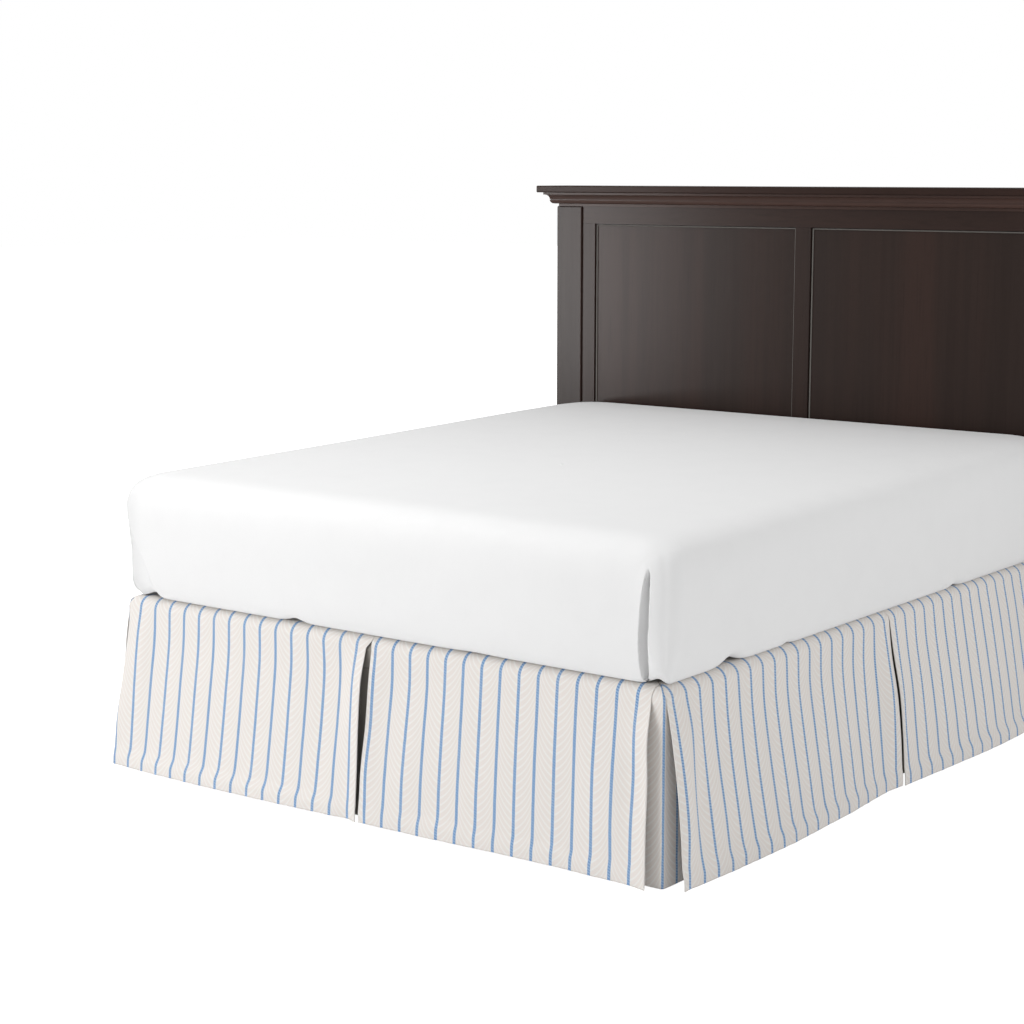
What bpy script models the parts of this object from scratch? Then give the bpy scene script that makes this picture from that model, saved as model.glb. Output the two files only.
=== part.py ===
"""Tailored bed skirt with split corners, on the bed that it dresses.

Metres, +Z up, the foot of the bed towards -Y. Every shape is laid out in the bed's own plan,
whose Y is 0 at the base's foot wall, and is moved at the end so that the origin lies on the
floor under the middle of the whole bed.
"""
import math
from collections import namedtuple

import bmesh
import bpy

# ---------------------------------------------------------------- driving sizes
BED_WIDTH = 1.600
BED_LENGTH = 1.920
SKIRT_TOP = 0.431            # upper face of the skirt on the base
HEM_Z = 0.006                # lower edge of the drop, just off the floor
INSERT_HEM_Z = 0.004         # lower edge of the inserts
CLOTH = 0.0015               # thickness of the skirt's cloth
GAP = 0.0003                 # between pieces that touch

ROLL_RADIUS = 0.030          # bend of the cloth over the base's edge, outer face
ROLL_BACK = 0.0245           # centre of that bend, inwards from the base's wall
RETURN_WIDTH = 0.045         # strip of each panel that lies under the mattress
DECK_SET = 0.010             # the deck stops this far short of the headboard
MITRE_GAP = 0.0015           # half of the gap between two panels' mitred returns
INSERT_LEG = 0.150           # reach of a corner insert along each wall
INSERT_BEND = 0.005          # its bend in plan

EDGE_RADIUS = 0.030          # rounded upper edge of the base
DECK_BOARD = 0.070           # thickness of the base's top board
RAIL = 0.022                 # thickness of the boards that carry it
RAIL_BEVEL = 0.004

MATTRESS_HEIGHT = 0.307      # at its foot
MATTRESS_RISE = 0.022        # gained towards its head

POST_WIDTH = 0.096
POST_DEPTH = 0.070
HEAD_INNER = 0.7927          # half of the clear width between the posts
STILE = 0.047
CENTRE_STILE = 0.051
FRAME_SET = 0.006            # frame behind the posts' front faces
FRAME_DEPTH = 0.050
PANEL_SET = 0.010            # panels behind the frame's front
PANEL_DEPTH = 0.018
HEAD_TOP = 1.368             # upper ends of the posts
TOP_RAIL_Z = 1.315
LOW_RAIL_Z = (0.250, 0.520)
CORNICE_HEIGHT = 0.0425
CAP_HEIGHT = 0.0212
CAP_REACH = 0.0475           # overhang of the cap board on all four sides

# ---------------------------------------------------------------- the drop's shape
# Heights at which a section's reach is given, from the bend down to the edge of the hem.
LEVELS = (0.401, 0.330, 0.230, 0.130, 0.050, 0.030, HEM_Z)
TOP_REACH = (ROLL_RADIUS - ROLL_BACK) * 1000.0
HEM_SWELL = 0.8              # share of the hem's kick already reached at the last level but one

# One row for each section of a panel: its place along the wall in metres, and how far the
# outer face stands off the wall, in millimetres, at the shoulder, above and below the middle,
# at the line of stitches over the hem and at the hem's edge.
Section = namedtuple("Section", "along shoulder upper lower hem_line edge")

# A free edge's place along the wall, in metres, at the bend, at the shoulder, at mid height
# and at the hem.
Edge = namedtuple("Edge", "top shoulder middle hem")

FOOT_LEFT = (
    Section(-0.812, 7.0, 28.0, 50.0, 57.0, 62.0),
    Section(-0.800, 8.0, 29.0, 49.5, 57.0, 62.0),
    Section(-0.754, 20.4, 33.2, 43.9, 54.5, 63.7),
    Section(-0.703, 10.6, 26.1, 40.8, 53.5, 66.0),
    Section(-0.601, 10.6, 25.2, 39.6, 53.7, 66.6),
    Section(-0.447, 8.7, 22.5, 37.3, 52.0, 66.0),
    Section(-0.293, 7.1, 19.3, 33.8, 47.4, 61.0),
    Section(-0.191, 5.6, 17.0, 31.5, 44.2, 56.0),
    Section(-0.088, 5.4, 16.5, 31.7, 42.8, 50.8),
    Section(-0.037, 21.7, 31.8, 37.4, 42.5, 45.2),
    Section(-0.003, 29.6, 42.6, 49.1, 54.7, 57.0),
)
FOOT_RIGHT = (
    Section(0.002, 14.0, 26.1, 41.7, 48.3, 52.0),
    Section(0.020, 15.9, 26.4, 45.1, 49.7, 50.7),
    Section(0.072, 9.0, 23.7, 37.2, 45.8, 50.0),
    Section(0.123, 8.6, 22.3, 36.6, 42.9, 47.0),
    Section(0.174, 9.1, 22.3, 33.3, 39.5, 47.0),
    Section(0.276, 11.2, 20.6, 29.9, 34.7, 40.9),
    Section(0.379, 10.6, 17.9, 25.3, 29.4, 34.4),
    Section(0.481, 10.2, 18.1, 22.9, 26.1, 30.7),
    Section(0.584, 11.3, 16.7, 20.8, 24.4, 29.0),
    Section(0.635, 12.0, 21.1, 24.0, 25.7, 31.0),
    Section(0.686, 11.7, 20.8, 26.6, 27.1, 29.6),
    Section(0.738, 16.8, 18.3, 26.8, 29.2, 31.5),
    Section(0.781, 32.3, 32.6, 37.3, 38.6, 39.2),
)
SIDE_FOOT_HALF = (
    Section(0.003, 19.3, 33.1, 43.4, 50.2, 55.3),
    Section(0.025, 20.8, 38.4, 50.0, 51.3, 52.8),
    Section(0.076, 21.8, 31.0, 40.4, 50.9, 57.6),
    Section(0.127, 12.7, 25.6, 40.4, 53.7, 59.5),
    Section(0.179, 11.5, 25.0, 42.2, 55.1, 63.0),
    Section(0.281, 12.4, 25.6, 42.3, 58.0, 66.3),
    Section(0.383, 10.1, 25.1, 43.1, 59.0, 68.8),
    Section(0.486, 9.9, 24.8, 43.0, 57.8, 68.5),
    Section(0.588, 8.8, 24.8, 41.1, 55.0, 64.8),
    Section(0.691, 8.4, 22.5, 38.3, 51.6, 62.0),
    Section(0.793, 7.2, 19.4, 34.4, 47.1, 55.6),
    Section(0.896, 9.3, 22.3, 33.6, 43.1, 49.7),
    Section(0.947, 18.3, 35.0, 43.5, 48.6, 51.5),
    Section(0.973, 13.6, 33.2, 45.3, 51.1, 55.0),
)
SIDE_HEAD_HALF = (
    Section(0.977, 18.6, 39.5, 50.7, 56.6, 59.6),
    Section(1.003, 17.9, 35.7, 45.7, 55.0, 60.0),
    Section(1.105, 13.9, 31.7, 46.0, 56.7, 66.3),
    Section(1.259, 16.0, 34.4, 52.1, 64.7, 75.0),
    Section(1.413, 18.8, 37.5, 56.1, 70.0, 82.5),
    Section(1.567, 21.0, 40.0, 58.0, 72.0, 83.0),
    Section(1.750, 19.0, 37.0, 54.0, 67.0, 78.0),
    Section(1.916, 15.0, 29.0, 43.0, 54.0, 63.0),
)

# The panels and the walls they hang from. The left wall mirrors the right one.
Panel = namedtuple("Panel", "name wall start end sections start_corner end_corner columns")
FOOT_HALF_ENDS = (Edge(0.0032, 0.0031, 0.0040, 0.0031), Edge(0.9725, 0.9726, 0.9729, 0.9727))
HEAD_HALF_ENDS = (Edge(0.9772, 0.9770, 0.9775, 0.9770), Edge(1.916, 1.916, 1.916, 1.916))
PANELS = (
    Panel("foot_panel_left", "foot", Edge(-0.789, -0.8015, -0.8025, -0.812),
          Edge(-0.0095, -0.0075, -0.0047, -0.0051), FOOT_LEFT, True, False, 26),
    Panel("foot_panel_right", "foot", Edge(0.0018, 0.0019, 0.0018, 0.0018),
          Edge(0.772, 0.7798, 0.781, 0.782), FOOT_RIGHT, False, True, 26),
    Panel("side_panel_right_foot", "right", *FOOT_HALF_ENDS, SIDE_FOOT_HALF, True, False, 30),
    Panel("side_panel_right_head", "right", *HEAD_HALF_ENDS, SIDE_HEAD_HALF, False, False, 24),
    Panel("side_panel_left_foot", "left", *FOOT_HALF_ENDS, SIDE_FOOT_HALF, True, False, 30),
    Panel("side_panel_left_head", "left", *HEAD_HALF_ENDS, SIDE_HEAD_HALF, False, False, 24),
)

ROLL_STEPS = 4
DROP_STEPS = 9
END_CROWDING = 0.55          # how strongly a panel's columns crowd towards its free edges

# ---------------------------------------------------------------- worked-out places
HALF_WIDTH = BED_WIDTH / 2
ROLL_Z = SKIRT_TOP - ROLL_RADIUS
UNDER_PANEL = SKIRT_TOP - CLOTH - GAP        # upper face of the deck and the inserts
BASE_TOP = UNDER_PANEL - CLOTH - GAP
HEAD_FRONT = BED_LENGTH + GAP
HEAD_BACK = HEAD_FRONT + POST_DEPTH
HEAD_OUTER = HEAD_INNER + GAP + POST_WIDTH
FOOT_REACH = max(s.edge for s in FOOT_LEFT + FOOT_RIGHT) / 1000.0
CENTRE_Y = (HEAD_BACK + CAP_REACH - FOOT_REACH) / 2

# ---------------------------------------------------------------- finishes
Finish = namedtuple("Finish", "color roughness")
CREAM_CLOTH = Finish((0.86, 0.83, 0.78), 0.90)
WHITE_SHEET = Finish((0.88, 0.88, 0.88), 0.85)
DARK_WOOD = Finish((0.045, 0.034, 0.030), 0.40)
DARK_BOARD = Finish((0.030, 0.028, 0.026), 0.60)


def clear_scene():
    for obj in list(bpy.data.objects):
        bpy.data.objects.remove(obj, do_unlink=True)


def make_material(name, finish):
    material = bpy.data.materials.new(name)
    material.use_nodes = True
    shader = material.node_tree.nodes["Principled BSDF"]
    shader.inputs["Base Color"].default_value = (*finish.color, 1.0)
    shader.inputs["Roughness"].default_value = finish.roughness
    shader.inputs["Metallic"].default_value = 0.0
    return material


def add_object(name, mesh, finish, collection):
    """Puts a mesh into the bed's collection, moved from the bed's plan to the origin."""
    obj = bpy.data.objects.new(name, mesh)
    obj.data.materials.append(make_material(name, finish))
    obj.location = (0.0, -CENTRE_Y, 0.0)
    collection.objects.link(obj)
    return obj


def mesh_from(bm, name):
    mesh = bpy.data.meshes.new(name)
    bm.to_mesh(mesh)
    bm.free()
    return mesh


# ---------------------------------------------------------------- curves through a table
def through(x, xs, ys):
    """Value at x of a smooth curve through the table's points, flat past its ends."""
    if x <= xs[0]:
        return ys[0]
    if x >= xs[-1]:
        return ys[-1]
    i = max(k for k in range(len(xs) - 1) if xs[k] <= x)

    def slope(k):
        low, high = max(k - 1, 0), min(k + 1, len(xs) - 1)
        return (ys[high] - ys[low]) / (xs[high] - xs[low])

    span = xs[i + 1] - xs[i]
    t = (x - xs[i]) / span
    a = (1 + 2 * t) * (1 - t) ** 2 * ys[i] + t * t * (3 - 2 * t) * ys[i + 1]
    b = t * (1 - t) ** 2 * slope(i) * span - t * t * (1 - t) * slope(i + 1) * span
    return a + b


def section_reach(sections, along, z):
    """How far a panel's outer face stands off the wall, in metres."""
    places = [s.along for s in sections]
    at_levels = [TOP_REACH]
    for column in ("shoulder", "upper", "lower", "hem_line", "edge"):
        at_levels.append(through(along, places, [getattr(s, column) for s in sections]))
    hem_line, edge = at_levels[-2:]
    at_levels.insert(-1, hem_line + HEM_SWELL * (edge - hem_line))
    depths = [LEVELS[0] - level for level in LEVELS]
    return through(LEVELS[0] - z, depths, at_levels) / 1000.0


def edge_place(edge, z):
    """Place of a free edge along the wall at a height of the drop."""
    drop = ROLL_Z - HEM_Z
    return through(ROLL_Z - z, (0.0, ROLL_Z - LEVELS[1], drop / 2, drop), edge)


def onto_wall(wall, along, out, z):
    """From a wall's own measures to the bed's plan."""
    if wall == "foot":
        return (along, -out, z)
    side = 1.0 if wall == "right" else -1.0
    return (side * (HALF_WIDTH + out), along, z)


# ---------------------------------------------------------------- the skirt
def bend_rows(radius, centre_z, with_return):
    """(out, z) down the cloth's middle layer, from the base's top round its edge."""
    rows = []
    if with_return:
        rows.append((-ROLL_BACK - RETURN_WIDTH, centre_z + radius))
    for step in range(ROLL_STEPS + 1):
        angle = math.pi / 2 * (1 - step / ROLL_STEPS)
        rows.append((-ROLL_BACK + radius * math.cos(angle), centre_z + radius * math.sin(angle)))
    return rows


def panel_rows():
    """The rows of a panel's grid: on the base and round its edge, then down the drop."""
    rows = bend_rows(ROLL_RADIUS - CLOTH / 2, ROLL_Z, True)
    hem_line, swell, hem = LEVELS[-3:]
    for step in range(1, DROP_STEPS + 1):
        rows.append((None, ROLL_Z + (hem_line - ROLL_Z) * step / DROP_STEPS))
    rows.extend([(None, swell), (None, hem)])
    return rows


def crowded(fraction):
    """Even steps from 0 to 1, crowded towards both ends."""
    eased = (1 - math.cos(math.pi * fraction)) / 2
    return fraction + END_CROWDING * (eased - fraction)


def panel_point(panel, fraction, out, z):
    """A point of a panel's middle layer. The drop's reach comes from its sections."""
    start = edge_place(panel.start, min(z, ROLL_Z))
    end = edge_place(panel.end, min(z, ROLL_Z))
    if out is not None:
        inward = max(-out, 0.0) + MITRE_GAP
        if panel.start_corner:
            corner = -HALF_WIDTH if panel.wall == "foot" else 0.0
            start = max(start, corner + inward)
        if panel.end_corner:
            end = min(end, HALF_WIDTH - inward)
    along = start + (end - start) * crowded(fraction)
    if out is None:
        out = section_reach(panel.sections, along, z) - CLOTH / 2
    return onto_wall(panel.wall, along, out, z)


def make_panel(panel, collection):
    """One drop panel: return, bend, drop and hem in a single sheet."""
    rows = panel_rows()
    bm = bmesh.new()
    bmesh.ops.create_grid(bm, x_segments=panel.columns, y_segments=len(rows) - 1, size=0.5)
    for vert in bm.verts:
        out, z = rows[round((0.5 - vert.co.y) * (len(rows) - 1))]
        vert.co = panel_point(panel, vert.co.x + 0.5, out, z)
    thicken(add_object(panel.name, mesh_from(bm, panel.name), CREAM_CLOTH, collection))


def thicken(obj):
    solidify = obj.modifiers.new("Cloth", "SOLIDIFY")
    solidify.thickness = CLOTH
    solidify.offset = 0.0
    obj.data.shade_smooth()


def insert_point(side, place, out, z):
    """A point of a corner insert: place runs from -1 to 1 round the corner, bend at 0."""
    bend_share = 0.2         # of each half of the strip's columns
    # The bend tightens to a mitred point where the strip meets the deck's square corner.
    bend = INSERT_BEND * max(1 + min(out, 0.0) / ROLL_BACK, 0.1)
    centre_x = HALF_WIDTH + out - bend
    centre_y = -out + bend
    if place < -bend_share:
        share = (place + 1) / (1 - bend_share)
        x = HALF_WIDTH - INSERT_LEG + share * (centre_x - HALF_WIDTH + INSERT_LEG)
        y = -out
    elif place > bend_share:
        share = (place - bend_share) / (1 - bend_share)
        x = HALF_WIDTH + out
        y = centre_y + share * (INSERT_LEG - centre_y)
    else:
        angle = (place / bend_share - 1) * math.pi / 4
        x = centre_x + bend * math.cos(angle)
        y = centre_y + bend * math.sin(angle)
    return (side * x, y, z)


def make_insert(name, side, collection):
    """The underlay that closes a split corner: one strip bent round it, hanging straight."""
    columns = 10
    drop_steps = 4
    rows = bend_rows(ROLL_RADIUS - 1.5 * CLOTH - GAP, ROLL_Z, False)
    out = rows[-1][0]
    for step in range(1, drop_steps + 1):
        rows.append((out, ROLL_Z + (INSERT_HEM_Z - ROLL_Z) * step / drop_steps))
    bm = bmesh.new()
    bmesh.ops.create_grid(bm, x_segments=columns, y_segments=len(rows) - 1, size=0.5)
    for vert in bm.verts:
        out, z = rows[round((0.5 - vert.co.y) * (len(rows) - 1))]
        vert.co = insert_point(side, 2 * vert.co.x, out, z)
    thicken(add_object(name, mesh_from(bm, name), CREAM_CLOTH, collection))


# ---------------------------------------------------------------- boards
def box_mesh(name, low, high, bevel=0.0, segments=2, upper_only=False):
    """A board between two corners, with its edges rounded."""
    bm = bmesh.new()
    bmesh.ops.create_cube(bm, size=1.0)
    for vert in bm.verts:
        vert.co = [lo + (hi - lo) * (c + 0.5) for c, lo, hi in zip(vert.co, low, high)]
    if bevel:
        floor = min(v.co.z for v in bm.verts)
        edges = [e for e in bm.edges if not (upper_only and all(v.co.z == floor for v in e.verts))]
        bmesh.ops.bevel(bm, geom=edges, offset=bevel, segments=segments, profile=0.5,
                        affect="EDGES", clamp_overlap=True)
    return mesh_from(bm, name)


def add_board(name, low, high, finish, collection, **rounding):
    obj = add_object(name, box_mesh(name, low, high, **rounding), finish, collection)
    obj.data.shade_smooth()
    obj.data.set_sharp_from_angle(angle=math.radians(35))
    return obj


def make_deck(collection):
    """The flat cloth under the mattress that the drop panels are sewn to."""
    inset = ROLL_BACK + GAP
    low = (inset - HALF_WIDTH, inset, UNDER_PANEL - CLOTH)
    high = (HALF_WIDTH - inset, BED_LENGTH - DECK_SET, UNDER_PANEL)
    add_board("deck", low, high, CREAM_CLOTH, collection)


def make_base(collection):
    """Top board on four boards that stand on the floor, and a beam down the middle."""
    board_z = BASE_TOP - DECK_BOARD
    add_board("base_top_board", (-HALF_WIDTH, 0.0, board_z), (HALF_WIDTH, BED_LENGTH, BASE_TOP),
              DARK_BOARD, collection, bevel=EDGE_RADIUS, segments=4, upper_only=True)
    rail_top = board_z - GAP
    ends = (("base_board_foot", 0.0), ("base_board_head", BED_LENGTH - RAIL))
    for name, y in ends:
        add_board(name, (-HALF_WIDTH, y, 0.0), (HALF_WIDTH, y + RAIL, rail_top), DARK_BOARD,
                  collection, bevel=RAIL_BEVEL)
    rails = (("base_board_left", -HALF_WIDTH), ("base_board_right", HALF_WIDTH - RAIL),
             ("base_beam", -RAIL / 2))
    for name, x in rails:
        add_board(name, (x, RAIL + GAP, 0.0), (x + RAIL, BED_LENGTH - RAIL - GAP, rail_top),
                  DARK_BOARD, collection, bevel=RAIL_BEVEL)


# ---------------------------------------------------------------- mattress
def cage_line(half, inset):
    """Places of a cage's six loops across the mattress: one near each edge, two between."""
    flat = half - inset
    return (-half, -flat, -flat / 3, flat / 3, flat, half)


def make_mattress(collection):
    """A soft block: flat underneath, with sides that belly out, and a top that rises headwards."""
    # One row for each layer of the cage, upwards: share of the height, reach past the base's
    # wall, and how far in from the edge its next loop lies.
    layer = namedtuple("Layer", "height reach inset")
    layers = (layer(0.00, -0.010, 0.022), layer(0.05, 0.012, 0.030), layer(0.35, 0.022, 0.060),
              layer(0.70, 0.026, 0.080), layer(0.93, 0.016, 0.090), layer(1.00, -0.030, 0.080))
    # Share of the rise at each of the cage's loops, from the foot to the head.
    rise = (0.0, 0.05, 0.45, 0.80, 1.00, 0.95)
    crown = 0.003
    bottom = SKIRT_TOP + GAP
    head_end = BED_LENGTH - GAP
    last = len(layers) - 1
    bm = bmesh.new()
    bmesh.ops.create_cube(bm, size=last)
    bmesh.ops.subdivide_edges(bm, edges=bm.edges[:], cuts=last - 1, use_grid_fill=True)
    for vert in bm.verts:
        i, j, k = (round(c + last / 2) for c in vert.co)
        row = layers[k]
        half_x = HALF_WIDTH + row.reach
        half_y = (BED_LENGTH + min(row.reach, 0.0) + row.reach) / 2
        x = cage_line(half_x, row.inset)[i]
        y = cage_line(half_y, row.inset)[j] + head_end + min(row.reach, 0.0) - half_y
        lift = crown if k == last and 0 < i < last and 0 < j < last else 0.0
        height = MATTRESS_HEIGHT + MATTRESS_RISE * rise[j]
        vert.co = (x, y, bottom + row.height * height + lift)
    obj = add_object("mattress", mesh_from(bm, "mattress"), WHITE_SHEET, collection)
    smooth = obj.modifiers.new("Soft", "SUBSURF")
    smooth.levels = 1
    smooth.render_levels = 1
    obj.data.shade_smooth()


# ---------------------------------------------------------------- headboard
def make_headboard(collection):
    """Two posts that stand on the floor, and a frame with two panels between them."""
    def board(name, low, high, **rounding):
        add_board(name, low, high, DARK_WOOD, collection, **rounding)

    frame_front = HEAD_FRONT + FRAME_SET
    frame_back = frame_front + FRAME_DEPTH
    for name, side in (("head_post_left", -1), ("head_post_right", 1)):
        xs = sorted((side * (HEAD_INNER + GAP), side * HEAD_OUTER))
        board(name, (xs[0], HEAD_FRONT, 0.0), (xs[1], HEAD_BACK, HEAD_TOP), bevel=0.003, segments=2)

    board("head_rail_top", (-HEAD_INNER, frame_front, TOP_RAIL_Z), (HEAD_INNER, frame_back, HEAD_TOP))
    # The lower rail's front is level with the posts, where the base is fixed to it.
    board("head_rail_low", (-HEAD_INNER, HEAD_FRONT, LOW_RAIL_Z[0]), (HEAD_INNER, frame_back, LOW_RAIL_Z[1]))

    low, high = LOW_RAIL_Z[1] + GAP, TOP_RAIL_Z - GAP
    half_stile = CENTRE_STILE / 2
    stiles = (("head_stile_left", -HEAD_INNER, STILE - HEAD_INNER),
              ("head_stile_centre", -half_stile, half_stile),
              ("head_stile_right", HEAD_INNER - STILE, HEAD_INNER))
    for name, x0, x1 in stiles:
        board(name, (x0, frame_front, low), (x1, frame_back, high))

    panel_front = frame_front + PANEL_SET
    for name, side in (("head_panel_left", -1), ("head_panel_right", 1)):
        xs = sorted((side * (half_stile + GAP), side * (HEAD_INNER - STILE - GAP)))
        board(name, (xs[0], panel_front, low), (xs[1], panel_front + PANEL_DEPTH, high))


def quarter(centre, across, up, start, steps=4):
    """Points of a quarter of an ellipse round its centre, from an angle in degrees onwards."""
    angles = [math.radians(start + 90 * step / steps) for step in range(steps + 1)]
    return [(centre[0] + across * math.cos(a), centre[1] + up * math.sin(a)) for a in angles]


def cornice_profile():
    """(reach past the posts, height above them) of the moulding, from its foot upwards."""
    neck = [(-0.004, 0.0), (-0.004, 0.0078)]
    ovolo = quarter((0.0055, 0.0188), 0.011, 0.011, -90)
    groove = [(0.0165, 0.0203), (0.0142, 0.0203), (0.0142, 0.0215)]
    # The cove turns the other way round, about a centre in front of it.
    cove = list(reversed(quarter((0.0285, 0.0215), 0.012, 0.0145, 90)))
    fillet = [(0.0315, 0.036), (0.0315, CORNICE_HEIGHT)]
    return neck + ovolo + groove + cove + fillet


def make_crown(collection):
    """The coved moulding round the headboard's top, mitred at its corners, and the cap board."""
    mid_y = (HEAD_FRONT + HEAD_BACK) / 2
    foot_z = HEAD_TOP + GAP
    bm = bmesh.new()
    rings = []
    for reach, height in cornice_profile():
        x, y, z = HEAD_OUTER + reach, POST_DEPTH / 2 + reach, foot_z + height
        corners = ((-x, mid_y - y), (x, mid_y - y), (x, mid_y + y), (-x, mid_y + y))
        rings.append([bm.verts.new((cx, cy, z)) for cx, cy in corners])
    for below, above in zip(rings, rings[1:]):
        for k in range(4):
            bm.faces.new((below[k], below[(k + 1) % 4], above[(k + 1) % 4], above[k]))
    bm.faces.new(list(reversed(rings[0])))
    bm.faces.new(rings[-1])
    add_object("head_cornice", mesh_from(bm, "head_cornice"), DARK_WOOD, collection)

    cap_z = foot_z + CORNICE_HEIGHT + GAP
    x, y = HEAD_OUTER + CAP_REACH, POST_DEPTH / 2 + CAP_REACH
    add_board("head_cap", (-x, mid_y - y, cap_z), (x, mid_y + y, cap_z + CAP_HEIGHT), DARK_WOOD,
              collection, bevel=0.003, segments=2)


def main():
    clear_scene()
    collection = bpy.data.collections.new("bed_skirt_on_bed")
    bpy.context.scene.collection.children.link(collection)
    for panel in PANELS:
        make_panel(panel, collection)
    make_insert("corner_insert_left", -1, collection)
    make_insert("corner_insert_right", 1, collection)
    make_deck(collection)
    make_mattress(collection)
    make_base(collection)
    make_headboard(collection)
    make_crown(collection)


if __name__ == "__main__":
    main()
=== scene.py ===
"""Tailored bed skirt of striped cloth, hanging from its bed: the looks, built round the solids.

Metres, +Z up, the foot of the bed towards -Y. The drop's folds follow the same sections as the
solids' do. The file is laid out as an add-on: its properties hold the sizes and colours, and
its operators build the pieces, which the panel in the 3D view's sidebar lists.
"""

import math
from collections import namedtuple

import bmesh
import bpy
import numpy as np
from bpy.props import FloatProperty, FloatVectorProperty, PointerProperty
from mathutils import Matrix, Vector, noise


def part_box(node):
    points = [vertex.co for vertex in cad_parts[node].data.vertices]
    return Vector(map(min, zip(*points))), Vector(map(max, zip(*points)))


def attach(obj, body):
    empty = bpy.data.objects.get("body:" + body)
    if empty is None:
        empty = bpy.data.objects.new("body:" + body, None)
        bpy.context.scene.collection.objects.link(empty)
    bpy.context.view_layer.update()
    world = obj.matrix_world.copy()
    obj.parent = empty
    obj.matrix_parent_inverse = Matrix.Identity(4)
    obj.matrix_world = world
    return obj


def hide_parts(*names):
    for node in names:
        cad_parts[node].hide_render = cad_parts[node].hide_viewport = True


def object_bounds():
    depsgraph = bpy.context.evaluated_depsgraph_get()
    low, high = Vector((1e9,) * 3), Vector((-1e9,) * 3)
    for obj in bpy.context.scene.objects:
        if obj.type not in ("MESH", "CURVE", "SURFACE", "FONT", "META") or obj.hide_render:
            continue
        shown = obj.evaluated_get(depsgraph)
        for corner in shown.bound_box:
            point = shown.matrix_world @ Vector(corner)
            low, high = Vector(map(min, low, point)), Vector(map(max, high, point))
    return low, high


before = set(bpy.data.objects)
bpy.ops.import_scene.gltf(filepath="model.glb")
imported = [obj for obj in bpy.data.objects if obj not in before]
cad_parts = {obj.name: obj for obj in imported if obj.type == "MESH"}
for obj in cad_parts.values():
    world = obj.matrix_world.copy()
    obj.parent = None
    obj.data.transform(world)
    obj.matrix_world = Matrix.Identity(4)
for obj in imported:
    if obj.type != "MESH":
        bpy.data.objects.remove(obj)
CAD_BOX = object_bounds()

bl_info = {
    "name": "Bed skirt on a bed",
    "version": (1, 0, 0),
    "blender": (4, 5, 0),
    "location": "3D View > Sidebar > Bed skirt",
    "description": "Builds a tailored, split-corner bed skirt on its bed, and a stage for it",
    "category": "Add Mesh",
}

ROOT = "root"

# ---------------------------------------------------------------- places read from the frame
BASE_LOW, BASE_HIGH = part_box("base_top_board")
HALF_WIDTH = BASE_HIGH.x
FOOT_WALL = BASE_LOW.y
BED_LENGTH = BASE_HIGH.y - BASE_LOW.y
SKIRT_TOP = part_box("foot_panel_left")[1].z
DECK_LOW, DECK_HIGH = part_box("deck")

# ---------------------------------------------------------------- the drop's shape
CLOTH = 0.0015               # thickness of the skirt's cloth
TURNED = 0.0027              # thickness where it is turned up or in
GAP = 0.0003
ROLL_RADIUS = 0.030          # bend of the cloth over the base's edge, outer face
ROLL_BACK = 0.0245           # centre of that bend, inwards from the base's wall
ROLL_Z = SKIRT_TOP - ROLL_RADIUS
RETURN_WIDTH = 0.045         # strip of each panel that lies under the mattress
MITRE_GAP = 0.0015
HEM_Z = 0.006
HEM_LINE_Z = 0.050           # line of stitches over the hem
SIDE_HEM = 0.012             # width of the turned free edges
SIDE_HEM_STEP = 0.002        # half of the step from the turned cloth to the single cloth
LOW_HEM_STEP = 0.003         # the same at the hem
TURN_START = (0.02, 0.06)    # how far below the bend the turned edges begin
RIM_BAND = (0.0016, 0.0034)  # width of the paler folded edge, from full to none
RIM_START = (-0.01, 0.02)    # how far below the bend it begins
INSERT_HEM_Z = 0.004
INSERT_LEG = 0.150
INSERT_BEND = 0.005
INSERT_TUCK = 0.0015         # cloth taken in on each side of the insert's corner
INSERT_WAVE = 0.0016         # height of the soft wave down its legs
INSERT_OPENING = 0.0012      # how far it stands out more towards its hem
INSERT_HANG = (0.05, 0.30)   # how far below the bend the wave and the opening come in
INSERT_COLUMNS = 81
INSERT_ROWS = 50

# Heights at which a section's reach is given, from the bend down to the edge of the hem.
LEVELS = (0.401, 0.330, 0.230, 0.130, HEM_LINE_Z, 0.030, HEM_Z)
TOP_REACH = (ROLL_RADIUS - ROLL_BACK) * 1000.0
HEM_SWELL = 0.8

# One row for each section of a panel: its place along the wall in metres, and how far the
# outer face stands off the wall, in millimetres, at the shoulder, above and below the middle,
# at the line of stitches over the hem and at the hem's edge.
Section = namedtuple("Section", "along shoulder upper lower hem_line edge")

# A free edge's place along the wall, in metres, at the bend, at the shoulder, at mid height
# and at the hem.
Edge = namedtuple("Edge", "top shoulder middle hem")

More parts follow.
